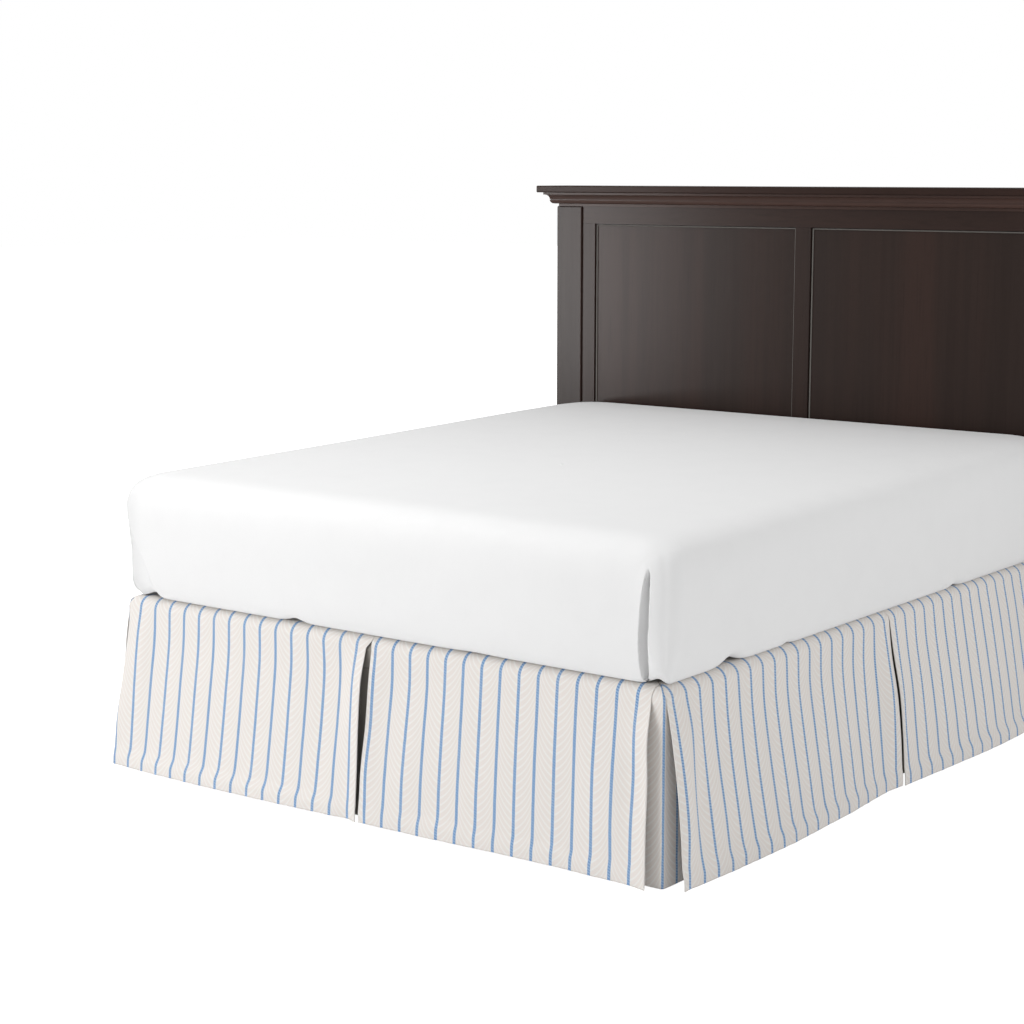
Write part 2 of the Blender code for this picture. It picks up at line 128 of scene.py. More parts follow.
FOOT_LEFT = (
    Section(-0.812, 7.0, 28.0, 50.0, 57.0, 62.0),
    Section(-0.800, 8.0, 29.0, 49.5, 57.0, 62.0),
    Section(-0.754, 20.4, 33.2, 43.9, 54.5, 63.7),
    Section(-0.703, 10.6, 26.1, 40.8, 53.5, 66.0),
    Section(-0.601, 10.6, 25.2, 39.6, 53.7, 66.6),
    Section(-0.447, 8.7, 22.5, 37.3, 52.0, 66.0),
    Section(-0.293, 7.1, 19.3, 33.8, 47.4, 61.0),
    Section(-0.191, 5.6, 17.0, 31.5, 44.2, 56.0),
    Section(-0.088, 5.4, 16.5, 31.7, 42.8, 50.8),
    Section(-0.037, 21.7, 31.8, 37.4, 42.5, 45.2),
    Section(-0.003, 29.6, 42.6, 49.1, 54.7, 57.0),
)
FOOT_RIGHT = (
    Section(0.002, 14.0, 26.1, 41.7, 48.3, 52.0),
    Section(0.020, 15.9, 26.4, 45.1, 49.7, 50.7),
    Section(0.072, 9.0, 23.7, 37.2, 45.8, 50.0),
    Section(0.123, 8.6, 22.3, 36.6, 42.9, 47.0),
    Section(0.174, 9.1, 22.3, 33.3, 39.5, 47.0),
    Section(0.276, 11.2, 20.6, 29.9, 34.7, 40.9),
    Section(0.379, 10.6, 17.9, 25.3, 29.4, 34.4),
    Section(0.481, 10.2, 18.1, 22.9, 26.1, 30.7),
    Section(0.584, 11.3, 16.7, 20.8, 24.4, 29.0),
    Section(0.635, 12.0, 21.1, 24.0, 25.7, 31.0),
    Section(0.686, 11.7, 20.8, 26.6, 27.1, 29.6),
    Section(0.738, 16.8, 18.3, 26.8, 29.2, 31.5),
    Section(0.781, 32.3, 32.6, 37.3, 38.6, 39.2),
)
SIDE_FOOT_HALF = (
    Section(0.003, 19.3, 33.1, 43.4, 50.2, 55.3),
    Section(0.025, 20.8, 38.4, 50.0, 51.3, 52.8),
    Section(0.076, 21.8, 31.0, 40.4, 50.9, 57.6),
    Section(0.127, 12.7, 25.6, 40.4, 53.7, 59.5),
    Section(0.179, 11.5, 25.0, 42.2, 55.1, 63.0),
    Section(0.281, 12.4, 25.6, 42.3, 58.0, 66.3),
    Section(0.383, 10.1, 25.1, 43.1, 59.0, 68.8),
    Section(0.486, 9.9, 24.8, 43.0, 57.8, 68.5),
    Section(0.588, 8.8, 24.8, 41.1, 55.0, 64.8),
    Section(0.691, 8.4, 22.5, 38.3, 51.6, 62.0),
    Section(0.793, 7.2, 19.4, 34.4, 47.1, 55.6),
    Section(0.896, 9.3, 22.3, 33.6, 43.1, 49.7),
    Section(0.947, 18.3, 35.0, 43.5, 48.6, 51.5),
    Section(0.973, 13.6, 33.2, 45.3, 51.1, 55.0),
)
SIDE_HEAD_HALF = (
    Section(0.977, 18.6, 39.5, 50.7, 56.6, 59.6),
    Section(1.003, 17.9, 35.7, 45.7, 55.0, 60.0),
    Section(1.105, 13.9, 31.7, 46.0, 56.7, 66.3),
    Section(1.259, 16.0, 34.4, 52.1, 64.7, 75.0),
    Section(1.413, 18.8, 37.5, 56.1, 70.0, 82.5),
    Section(1.567, 21.0, 40.0, 58.0, 72.0, 83.0),
    Section(1.750, 19.0, 37.0, 54.0, 67.0, 78.0),
    Section(1.916, 15.0, 29.0, 43.0, 54.0, 63.0),
)

# A soft ridge or trough that runs down a panel: its place along the wall and half width in
# metres, how far it leans on the way down, the heights that it runs between, and its height
# in millimetres, below zero for a trough.
Crease = namedtuple("Crease", "along width lean high low height")

FOOT_LEFT_CREASES = (
    Crease(-0.735, 0.016, -0.010, 0.40, 0.02, 1.4),
    Crease(-0.655, 0.026, -0.015, 0.38, 0.05, -1.2),
    Crease(-0.520, 0.030, 0.012, 0.36, -0.05, 1.2),
    Crease(-0.365, 0.034, -0.020, 0.30, -0.10, -1.5),
    Crease(-0.235, 0.030, 0.016, 0.42, 0.10, 1.6),
    Crease(-0.130, 0.020, 0.018, 0.34, -0.08, -1.8),
)
FOOT_RIGHT_CREASES = (
    Crease(0.048, 0.016, -0.008, 0.38, 0.04, -2.0),
    Crease(0.125, 0.028, 0.012, 0.36, -0.06, 1.4),
    Crease(0.250, 0.030, -0.014, 0.30, -0.10, -1.2),
    Crease(0.400, 0.036, 0.020, 0.42, 0.08, 1.3),
    Crease(0.560, 0.030, -0.012, 0.34, -0.10, -1.3),
    Crease(0.690, 0.022, 0.010, 0.40, 0.02, 1.5),
    Crease(0.760, 0.010, 0.004, 0.36, 0.06, -1.2),
)
SIDE_FOOT_CREASES = (
    Crease(0.048, 0.018, 0.006, 0.36, 0.02, 3.0),
    Crease(0.092, 0.018, 0.012, 0.37, 0.00, -3.4),
    Crease(0.165, 0.024, -0.010, 0.34, -0.08, 1.4),
    Crease(0.300, 0.034, 0.016, 0.40, 0.04, -1.4),
    Crease(0.430, 0.030, -0.014, 0.32, -0.10, 1.3),
    Crease(0.575, 0.034, 0.014, 0.40, 0.06, -1.2),
    Crease(0.720, 0.026, -0.010, 0.36, -0.08, 1.5),
    Crease(0.855, 0.024, 0.010, 0.38, 0.00, -1.6),
    Crease(0.940, 0.014, 0.006, 0.39, 0.03, 2.2),
)
SIDE_HEAD_CREASES = (
    Crease(1.030, 0.018, -0.008, 0.39, 0.02, -2.0),
    Crease(1.170, 0.030, 0.012, 0.36, -0.08, 1.4),
    Crease(1.330, 0.034, -0.014, 0.34, 0.02, -1.5),
    Crease(1.480, 0.030, 0.014, 0.40, -0.06, 1.3),
    Crease(1.640, 0.036, -0.016, 0.32, -0.08, -1.4),
    Crease(1.800, 0.028, 0.010, 0.38, 0.04, 1.5),
    Crease(1.880, 0.018, 0.004, 0.40, 0.00, -1.6),
)

# The panels and the walls they hang from. The left wall mirrors the right one. first_stripe is
# where the first stripe runs, from which the feather barbs rise on both sides.
Panel = namedtuple("Panel", "name wall start end sections creases start_corner end_corner "
                            "first_stripe phase")
FOOT_HALF_ENDS = (Edge(0.0032, 0.0031, 0.0040, 0.0031), Edge(0.9725, 0.9726, 0.9729, 0.9727))
HEAD_HALF_ENDS = (Edge(0.9772, 0.9770, 0.9775, 0.9770), Edge(1.916, 1.916, 1.916, 1.916))
PANELS = (
    Panel("foot_panel_left", "foot", Edge(-0.789, -0.8015, -0.8025, -0.812),
          Edge(-0.0095, -0.0075, -0.0047, -0.0051), FOOT_LEFT, FOOT_LEFT_CREASES,
          True, False, -0.7543, 0.4),
    Panel("foot_panel_right", "foot", Edge(0.0078, 0.0058, 0.0050, 0.0018),
          Edge(0.772, 0.7798, 0.781, 0.782), FOOT_RIGHT, FOOT_RIGHT_CREASES,
          False, True, 0.0203, 2.1),
    Panel("side_panel_right_foot", "right", *FOOT_HALF_ENDS, SIDE_FOOT_HALF, SIDE_FOOT_CREASES,
          True, False, 0.0248, 3.7),
    Panel("side_panel_right_head", "right", *HEAD_HALF_ENDS, SIDE_HEAD_HALF, SIDE_HEAD_CREASES,
          False, False, 1.0030, 5.2),
    Panel("side_panel_left_foot", "left", *FOOT_HALF_ENDS, SIDE_FOOT_HALF, SIDE_FOOT_CREASES,
          True, False, 0.0248, 6.9),
    Panel("side_panel_left_head", "left", *HEAD_HALF_ENDS, SIDE_HEAD_HALF, SIDE_HEAD_CREASES,
          False, False, 1.0030, 8.3),
)

# Pulls of the hem's stitches: their spacing in metres and their height in millimetres.
Pull = namedtuple("Pull", "spacing height")
HEM_PULLS = (Pull(0.031, 0.35), Pull(0.047, 0.45), Pull(0.083, 0.40))

# Where a wall's two panels meet on the bend, along the wall, and half of the gap between them.
# A free edge belongs to the split when it is this near, and has closed up this far below the top.
SPLITS = {"foot": 0.0035, "right": 0.9750, "left": 0.9750}
SPLIT_GAP = 0.0006
SPLIT_NEAR = 0.02
SPLIT_CLOSED = 0.008

PANEL_COLUMNS = 170
ROLL_STEPS = 12
DROP_ROW = 0.007             # height of the drop's rows, and of the hem's
HEM_ROW = 0.0035
END_CROWDING = 0.60          # how strongly a panel's columns crowd towards its free edges

# ---------------------------------------------------------------- the mattress in its sheet
# How far the sheet stands off the base's walls, in millimetres, and its height in metres, up
# the side and in over the rounded upper edge.
Profile = namedtuple("Profile", "reach height")
SHEET_PROFILE = (
    Profile(-70, 0.4313), Profile(-30, 0.4314), Profile(-14, 0.4318), Profile(-5, 0.4345),
    Profile(2, 0.4420), Profile(8, 0.4560), Profile(13, 0.4800), Profile(17, 0.5200),
    Profile(20, 0.5700), Profile(21, 0.6200), Profile(19, 0.6580), Profile(13, 0.6880),
    Profile(3, 0.7080), Profile(-12, 0.7215), Profile(-32, 0.7305), Profile(-62, 0.7355),
    Profile(-110, 0.7370),
)
SHEET_CROWN_Z = 0.7375
SHEET_CORNER = 0.060         # radius of its corners in plan
LOW_CORNER_SHARE = 0.45      # of that radius at the lower edge
CORNER_OPENS = (0.44, 0.56)  # heights between which the radius grows to its full size
# How much higher its top lies, in metres, at places along the bed from the foot.
RISE_PLACES = (0.0, 0.90, 1.72, 1.92)
RISE = (0.0, 0.0138, 0.0270, 0.0225)
RISE_HEIGHTS = (0.50, 0.73)  # the rise comes in between these heights
HEAD_ROUNDING = 0.30         # of the rounding at its foot
SHEET_ROWS = 74
CROWN_LOOPS = 26             # loops from there to the middle of the top
FILLING_WAVE = 0.0034        # unevenness of the filling, broad and fine
FILLING_RIPPLE = 0.0012
FILLING_HEIGHTS = (0.432, 0.46)

# A fold at a corner of the fitted sheet. wall and corner say on which face, next to which end
# of the foot; lip and back are its two edges' distances from the corner, in metres, for each
# of the heights. Its wall slants in from the lip to its depth at the back, and comes out again
# over the width of its turn.
Dart = namedtuple("Dart", "wall corner heights lip back depth turn")
LIP_STEP = 0.22              # share of the depth that is taken right at the lip
LIP_TURN = 0.0016            # width over which it is taken
LIP_SWELL = 0.0022           # how far the lip stands proud
LIP_FADE = 0.012             # distance over which that fades
DART_RUN_ON = 0.004          # how far a fold runs on below its lowest height
DART_FADE = 0.04             # height over which it fades at its top
DARTS = (
    Dart("foot", 1, (0.436, 0.446, 0.458, 0.470, 0.500, 0.535, 0.560, 0.580, 0.620, 0.655, 0.680),
         (0.0465, 0.0500, 0.0515, 0.0525, 0.0525, 0.0523, 0.0507, 0.0488, 0.0435, 0.0385, 0.0335),
         (0.0450, 0.0400, 0.0375, 0.0357, 0.0350, 0.0352, 0.0325, 0.0313, 0.0300, 0.0298, 0.0315),
         0.046, 0.004),
    Dart("foot", -1, (0.436, 0.459, 0.479, 0.503, 0.572, 0.613, 0.660),
         (0.111, 0.098, 0.087, 0.079, 0.047, 0.028, 0.008),
         (-0.006,) * 7, 0.016, 0.012),
    Dart("right", 1, (0.436, 0.470, 0.540, 0.610, 0.668),
         (0.040, 0.046, 0.050, 0.042, 0.030),
         (0.034, 0.030, 0.028, 0.026, 0.024), 0.016, 0.006),
    Dart("left", 1, (0.436, 0.470, 0.540, 0.610, 0.668),
         (0.044, 0.050, 0.052, 0.040, 0.028),
         (0.036, 0.032, 0.028, 0.024, 0.022), 0.016, 0.006),
)

# Soft creases of the near corner: one arches over its fold, at heights given for distances from
# the corner, and one runs down the bend at a share of its turn, between two heights at each
# end. Their widths are in metres and in shares, and their depths in metres.
ARCH_DISTANCES = (0.0, 0.0052, 0.0269, 0.0534, 0.0653, 0.0720)
ARCH_HEIGHTS = (0.7225, 0.7217, 0.7111, 0.6813, 0.6446, 0.6050)
ARCH_WIDTH = 0.0090
ARCH_DEPTH = 0.0013
ARCH_FADE = 0.03             # distance over which it fades away from the corner
ARCH_START = 0.02            # and over which it begins round the corner
BEND_CREASE = 0.49
BEND_CREASE_WIDTH = 0.085
BEND_CREASE_DEPTH = 0.0013
BEND_CREASE_LOW = (0.45, 0.50)
BEND_CREASE_HIGH = (0.69, 0.73)

# Places where the sheet's lower edge lifts off the skirt: along the wall, width and height.
Lift = namedtuple("Lift", "wall along width height")
LIFTS = (
    Lift("foot", -0.722, 0.028, 0.0130),
    Lift("foot", -0.240, 0.030, 0.0090),
    Lift("foot", 0.300, 0.060, 0.0020),
    Lift("foot", 0.778, 0.026, 0.0130),
    Lift("right", 0.262, 0.040, 0.0165),
    Lift("right", 0.505, 0.016, 0.0050),
    Lift("right", 1.340, 0.026, 0.0070),
    Lift("left", 0.420, 0.030, 0.0070),
    Lift("left", 1.260, 0.024, 0.0060),
)
LIFT_HEIGHTS = (0.4325, 0.475)    # a lift fades out between these heights
NEAR_LIFT_FADE = (0.3, 0.95)      # and between these shares of the two foot corners' turns
FAR_LIFT_FADE = (0.25, 0.9)

# Painted shade: the sheet is made greyer beside its left edge, though its cloth is white all over.
# Distances in from the edge, from none to full.
PAINTED_EDGE_SHADE = (0.08, 0.00)

# ---------------------------------------------------------------- the wood
# How the grain is drawn out along an axis: the smaller the factor, the longer.
UPRIGHT_GRAIN = (1.0, 1.0, 0.06)
LEVEL_GRAIN = (0.06, 1.0, 1.0)
EVEN_GRAIN = (1.0, 1.0, 1.0)
COVE_PAINTED_REFLECTION = 2.1          # how many times paler the cornice's colour is: painted reflection of the white floor and bed

# ---------------------------------------------------------------- the stage
# The soft boxes that light it: where each stands and how long its sides are, in metres, its
# power in watts, and whether it is only mirrored, by the lacquer, or only lights. All face the bed.
SoftBox = namedtuple("SoftBox", "name place size power mirrored")
SOFT_BOXES = (
    SoftBox("sheen_light", (-5.2, -4.3, 0.9), 2.0, 185.0, True),
    SoftBox("front_light", (-1.9, -5.3, 1.3), 2.5, 80.0, False),
    SoftBox("front_left_light", (-4.5, -5.5, 2.0), 2.5, 4.0, False),
    SoftBox("right_light", (5.5, 0.0, 2.0), 2.5, 62.0, False),
    SoftBox("top_light", (-0.8, -1.5, 3.3), 2.5, 54.0, False),
)
LIGHTS_AIM = Vector((0.0, -0.3, 0.5))
WHITE = (1.0, 1.0, 1.0, 1.0)
SENSOR = 36.0                # width of the camera's sensor, in millimetres
FLOOR_CLOUDS = (0.86, 0.86, 0.86)    # the floor's slightly darker clouds

# ---------------------------------------------------------------- waves in the shaders
TURN = 2 * math.pi           # one whole wave
THREAD = 0.0009              # repeat of the striped cloth's threads

# ---------------------------------------------------------------- names shared by pieces
FLAT_MAP = "flat"            # UV map: metres across and up the cloth as it was cut
EDGE_FIELD = "turned_edge"   # 1 on the cloth's turned free edges, 0 elsewhere


# ================================================================ shader expressions
class Field:
    """A value of a shader graph. Arithmetic on it adds Math nodes."""

    def __init__(self, graph, socket):
        self.graph = graph
        self.socket = socket

    def out(self, name):
        """Another output of the node that this value comes from."""
        return Field(self.graph, self.socket.node.outputs[name])

    def __add__(self, other):
        return self.graph.math("ADD", self, other)

    def __sub__(self, other):
        return self.graph.math("SUBTRACT", self, other)

    def __rsub__(self, other):
        return self.graph.math("SUBTRACT", other, self)

    def __mul__(self, other):
        return self.graph.math("MULTIPLY", self, other)

    def __truediv__(self, other):
        return self.graph.math("DIVIDE", self, other)

    __radd__ = __add__
    __rmul__ = __mul__

    def __abs__(self):
        return self.graph.math("ABSOLUTE", self)

    def fract(self):
        return self.graph.math("FRACT", self)

    def sin(self):
        return self.graph.math("SINE", self)

    def exp(self):
        return self.graph.math("EXPONENT", self)


class Graph:
    """The node tree of a material or a world, and the ways in which nodes are added to it."""

    def __init__(self, owner):
        owner.use_nodes = True
        self.owner = owner
        self.tree = owner.node_tree
        self.tree.nodes.clear()

    def add(self, kind, settings=None, sockets=None, output=0):
        """Adds a node: its settings first, then its sockets' values or links."""
        node = self.tree.nodes.new(kind)
        for name, value in (settings or {}).items():
            setattr(node, name, value)
        for name, value in (sockets or {}).items():
            if isinstance(value, Field):
                self.tree.links.new(value.socket, node.inputs[name])
            else:
                node.inputs[name].default_value = value
        return Field(self, node.outputs[output]) if node.outputs else None

    def math(self, operation, *values):
        return self.add("ShaderNodeMath", {"operation": operation}, dict(enumerate(values)))

    def place(self):
        """The point's place on its object, in metres."""
        return self.add("ShaderNodeTexCoord").out("Object")

    def split(self, vector):
        """A vector's parts, as the outputs X, Y and Z."""
        return self.add("ShaderNodeSeparateXYZ", {}, {"Vector": vector})

    def step(self, value, low, high):
        """0 below low, 1 above high, and a smooth rise between them."""
        return self.add("ShaderNodeMapRange", {"interpolation_type": "SMOOTHSTEP"},
                        {"Value": value, "From Min": low, "From Max": high})

    def mix(self, share, low, high):
        """A blend of two colours."""
        colors = [c if isinstance(c, Field) else (*c, 1.0) for c in (low, high)]
        return self.add("ShaderNodeMix", {"data_type": "RGBA"},
                        {0: share, 6: colors[0], 7: colors[1]}, output=2)

    def scaled(self, vector, factors):
        return self.add("ShaderNodeVectorMath", {"operation": "MULTIPLY"}, {0: vector, 1: factors})

    def noise(self, vector, scale, detail=2.0, roughness=0.5):
        return self.add("ShaderNodeTexNoise", {}, {"Vector": vector, "Scale": scale,
                                                   "Detail": detail, "Roughness": roughness})

    def repeat(self, value, period):
        """Signed distance from value to the nearest multiple of a period."""
        return ((value / period + 0.5).fract() - 0.5) * period

    def bump(self, height, depth):
        """A normal for a height from 0 to 1 that stands for a depth in metres."""
        return self.add("ShaderNodeBump", {}, {"Height": height, "Strength": 1.0, "Distance": depth})

    def shade(self, color, roughness, normal, constants):
        """Ends the graph in a Principled shader."""
        sockets = {"Base Color": color, "Roughness": roughness, **constants}
        if normal is not None:
            sockets["Normal"] = normal
        shader = self.add("ShaderNodeBsdfPrincipled", {}, sockets)
        self.add("ShaderNodeOutputMaterial", {}, {"Surface": shader})
        return self.owner


# ================================================================ finishes
def striped_cloth(name, skirt):
    """Cream cloth with blue ladder stripes, and feather barbs that rise from every other one."""
    g = Graph(bpy.data.materials.new(name))
    flat = g.split(g.add("ShaderNodeUVMap", {"uv_map": FLAT_MAP}))
    up = flat.out("Y")
    # The yarns wander a little from their straight lines.
    place = g.place()
    wander = g.noise(place, 70.0) - 0.5
    across = flat.out("X") + wander * 0.0010

    to_stripe = g.repeat(across, skirt.stripe_pitch)
    off_stripe = abs(to_stripe)
    half = skirt.stripe_width / 2
    stripe = 1 - g.step(off_stripe, half - 0.0003, half + 0.0003)
    border = g.step(off_stripe, half, half + 0.0006)
    border = border * (1 - g.step(off_stripe, half + 0.0026, half + 0.0042))

    # Barbs leave the spine at a low angle and turn up along the next stripe.
    off_spine = abs(g.repeat(across, 2 * skirt.stripe_pitch))
    rise = ((off_spine / skirt.barb_curl).exp() - 1) * (skirt.barb_curl * skirt.barb_slope)
    along_barb = up - rise + wander * 0.0016
    off_barb = abs(g.repeat(along_barb, skirt.barb_spacing))
    yarn = g.noise(g.scaled(place, (1.0, 1.0, 0.6)), 420.0, 2.0)
    barb_half = skirt.barb_width / 2 + (yarn - 0.5) * 0.0014
    barb = 1 - g.step(off_barb, barb_half - 0.0009, barb_half + 0.0009)
    quarter = skirt.barb_spacing / 4
    off_twill = abs(g.repeat(along_barb + quarter / 2, quarter))
    twill = 1 - g.step(off_twill, quarter * 0.10, quarter * 0.42)

    # Dots of darker yarn climb each stripe, left and right in turn, with pale specks between.
    side = to_stripe / half
    climb = up / skirt.dot_spacing
    wave = ((climb + side * 0.25) * TURN).sin() * 0.5 + 0.5
    dots = g.step(wave, 0.35, 0.85)
    speck = g.step(((climb + 0.5) * TURN).sin(), 0.55, 0.95)
    speck = speck * (1 - g.step(abs(side), 0.15, 0.55))

    ground = g.mix(twill * 0.55, skirt.ground_color, skirt.twill_color)
    ground = g.mix(border * 0.85, ground, skirt.border_color)
    ground = g.mix(barb * 0.9, ground, skirt.barb_color)
    blue = g.mix(dots, skirt.stripe_pale_color, skirt.stripe_deep_color)
    blue = g.mix(speck * 0.55, blue, skirt.speck_color)
    color = g.mix(stripe, ground, blue)
    turned = g.add("ShaderNodeAttribute", {"attribute_name": EDGE_FIELD}).out("Fac")
    color = g.mix(turned * 0.8, color, skirt.edge_color)
    mottle = g.noise(place, 9.0, 3.0)
    color = g.mix(g.step(mottle, 0.45, 0.85) * 0.10, color, skirt.twill_color)

    threads = (flat.out("X") * (TURN / THREAD)).sin() * (up * (TURN / THREAD)).sin()
    height = barb * 0.45 + twill * 0.15 + threads * 0.05 + yarn * 0.25
    height = height + stripe * (dots * 0.35 + 0.2)
    roughness = 0.92 - barb * 0.06 - stripe * 0.04
    return g.shade(color, roughness, g.bump(height, 0.00035),
                   {"Specular IOR Level": 0.25, "Sheen Weight": 0.12, "Sheen Roughness": 0.4})


def plain_cloth(name, color, shadow_color, thread, depth, edge_color=None):
    """A fine plain weave with a little unevenness. edge_color, when given, is painted shade: the
    colour that the cloth turns towards its left edge.
    """
    g = Graph(bpy.data.materials.new(name))
    place = g.place()
    axes = g.split(place)
    mottle = g.noise(place, 14.0, 4.0)
    slub = g.noise(g.scaled(place, (1.0, 1.0, 0.15)), 260.0, 2.0)
    shade = g.step(mottle, 0.35, 0.9) * 0.5 + g.step(slub, 0.55, 0.85) * 0.3
    waves = [(axes.out(axis) * (TURN / thread)).sin() for axis in "XYZ"]
    weave = waves[0] * waves[1] + waves[1] * waves[2] + waves[2] * waves[0]
    height = weave * 0.08 + slub * 0.5 + mottle * 0.3
    color = g.mix(shade, color, shadow_color)
    # Painted shade: the colour turns greyer towards the left edge.
    if edge_color:
        start, full = (HALF_WIDTH - inwards for inwards in PAINTED_EDGE_SHADE)
        rim = g.step(0.0 - axes.out("X"), start, full)
        color = g.mix(rim, color, edge_color)
    return g.shade(color, 0.9 + slub * 0.06, g.bump(height, depth),
                   {"Specular IOR Level": 0.2, "Sheen Weight": 0.1, "Sheen Roughness": 0.5})


def stained_wood(name, wood, along, gloss, colors):
    """Stained and lacquered wood. along says how far the grain is drawn out on each axis."""
    warm, cool, deep = colors
    g = Graph(bpy.data.materials.new(name))
    drawn = g.scaled(g.place(), along)
    bands = g.noise(drawn, 4.2, 2.0)
    figure = g.noise(g.scaled(drawn, (1.0, 1.0, 0.6)), 26.0, 5.0, 0.6)
    pores = g.noise(g.scaled(drawn, (1.0, 1.0, 0.4)), 240.0, 3.0, 0.6)
    lines = g.step(pores, 0.52, 0.70)
    color = g.mix(g.step(bands, 0.36, 0.64), cool, warm)
    color = g.mix(g.step(figure, 0.40, 0.68) * 0.35, color, deep)
    color = g.mix(lines * 0.30, color, deep)
    roughness = wood.roughness + figure * 0.05
    return g.shade(color, roughness, g.bump(figure * 0.3 - lines * 0.5, 0.00005),
                   {"Specular IOR Level": gloss})


def plain_floor(name, stage):
    """Plain white floor. It glows to the eye, and lights the bed far less."""
    g = Graph(bpy.data.materials.new(name))
    place = g.place()
    cloud = g.noise(place, 1.3, 2.0)
    color = g.mix(cloud * 0.15, stage.floor_color, FLOOR_CLOUDS)
    seen = g.add("ShaderNodeLightPath")
    glow = g.mix(seen, (stage.floor_glow,) * 3, (1.0, 1.0, 1.0))
    return g.shade(color, 0.95, None,
                   {"Specular IOR Level": 0.0, "Emission Color": glow, "Emission Strength": 1.0})


# ================================================================ curves and grids
def through(x, xs, ys):
    """Values at x of a smooth curve through the points (xs, ys), flat past its ends."""
    xs = np.asarray(xs, float)
    ys = np.asarray(ys, float)
    x = np.clip(x, xs[0], xs[-1])
    i = np.clip(np.searchsorted(xs, x, side="right") - 1, 0, len(xs) - 2)
    steps = np.arange(len(xs))
    low = np.maximum(steps - 1, 0)
    high = np.minimum(steps + 1, len(xs) - 1)
    runs = (xs[high] - xs[low]).reshape(-1, *[1] * (ys.ndim - 1))
    slopes = (ys[high] - ys[low]) / runs
    span = xs[i + 1] - xs[i]
    t = (x - xs[i]) / span
    start = (1 + 2 * t) * (1 - t) ** 2 * ys[i] + t * (1 - t) ** 2 * span * slopes[i]
    end = t * t * (3 - 2 * t) * ys[i + 1] - t * t * (1 - t) * span * slopes[i + 1]
    return start + end


def eased(value, low, high):
    """0 below low, 1 above high, and a smooth rise between them."""
    t = np.clip((value - low) / (high - low), 0.0, 1.0)
    return t * t * (3 - 2 * t)


def crowded(count, crowding):
    """Steps from 0 to 1, crowded towards both ends."""
    even = np.linspace(0.0, 1.0, count)
    return even + crowding * ((1 - np.cos(np.pi * even)) / 2 - even)


def smooth_object(name, bm):
    """An object with the mesh of a bmesh, which is freed, shaded smooth."""
    mesh = bpy.data.meshes.new(name)
    bm.to_mesh(mesh)
    bm.free()
    mesh.shade_smooth()
    obj = bpy.data.objects.new(name, mesh)
    bpy.context.collection.objects.link(obj)
    return obj


def grid_object(name, points, flat, turned=None):
    """A sheet through rows of points, with the flat places of its cloth as a UV map."""
    rows, columns = points.shape[:2]
    bm = bmesh.new()
    bmesh.ops.create_grid(bm, x_segments=columns - 1, y_segments=rows - 1, size=0.5)
    places = [(round((0.5 - v.co.y) * (rows - 1)), round((v.co.x + 0.5) * (columns - 1)))
              for v in bm.verts]
    uv = bm.loops.layers.uv.new(FLAT_MAP)
    bm.verts.index_update()
    for face in bm.faces:
        for loop in face.loops:
            loop[uv].uv = flat[places[loop.vert.index]]
    for vert in bm.verts:
        vert.co = points[places[vert.index]]
    obj = smooth_object(name, bm)
    if turned is not None:
        field = obj.data.attributes.new(EDGE_FIELD, "FLOAT", "POINT")
        field.data.foreach_set("value", [turned[place] for place in places])
    return obj, places


def thicken(obj, places, thick_share):
    """Gives a sheet its thickness, greater where the cloth is turned over on itself."""
    group = obj.vertex_groups.new(name="turned")
    for index, place in enumerate(places):
        group.add([index], float(thick_share[place]), "REPLACE")
    solidify = obj.modifiers.new("Cloth", "SOLIDIFY")
    solidify.thickness = TURNED
    solidify.offset = 0.0
    solidify.vertex_group = group.name
    solidify.thickness_vertex_group = CLOTH / TURNED


def finish_sheet(obj, material, node):
    """Hands a sheet of cloth to the frame in the place of its solid."""
    obj.data.materials.append(material)
    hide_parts(node)
    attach(obj, ROOT)


# ================================================================ the skirt
def bend_rows(radius):
    """(out, height) round the base's edge, down the cloth's middle layer."""
    angles = np.linspace(math.pi / 2, 0.0, ROLL_STEPS + 1)
    return [(-ROLL_BACK + radius * math.cos(a), ROLL_Z + radius * math.sin(a)) for a in angles]


def panel_rows():
    """(out, height) of a panel's rows. out is None on the drop, where the sections give it."""
    radius = ROLL_RADIUS - CLOTH / 2
    back = np.linspace(-ROLL_BACK - RETURN_WIDTH, -ROLL_BACK, 6)[:-1]
    rows = [(out, ROLL_Z + radius) for out in back] + bend_rows(radius)
    hem_start = HEM_LINE_Z + 0.012
    drop = np.linspace(ROLL_Z, hem_start, round((ROLL_Z - hem_start) / DROP_ROW) + 1)
    hem = np.linspace(hem_start, HEM_Z, round((hem_start - HEM_Z) / HEM_ROW) + 1)
    return rows + [(None, z) for z in [*drop[1:], *hem[1:]]]


def crease_height(creases, along, z):
    """Height of the panel's soft ridges and troughs, in millimetres."""
    total = np.zeros_like(along)
    for crease in creases:
        middle = (crease.high + crease.low) / 2
        share = (middle - z) / (crease.high - crease.low)
        if abs(share) < 0.5:
            place = crease.along + crease.lean * share
            fade = math.cos(math.pi * share) ** 2
            total += crease.height * fade * np.exp(-((along - place) / crease.width) ** 2)
    return total


def hem_pull(panel, along, z):
    """Height of the small pulls along the hem's stitches, in millimetres."""
    total = np.zeros_like(along)
    for number, pull in enumerate(HEM_PULLS):
        turn = 2 * math.pi * along / pull.spacing + panel.phase * (number + 1)
        total += pull.height * np.sin(turn + 0.8 * np.sin(turn * 0.37 + panel.phase))
    line = math.exp(-((z - HEM_LINE_Z) / 0.010) ** 2)
    edge = 0.7 * math.exp(-((z - HEM_Z) / 0.020) ** 2)
    return total * (edge - line)


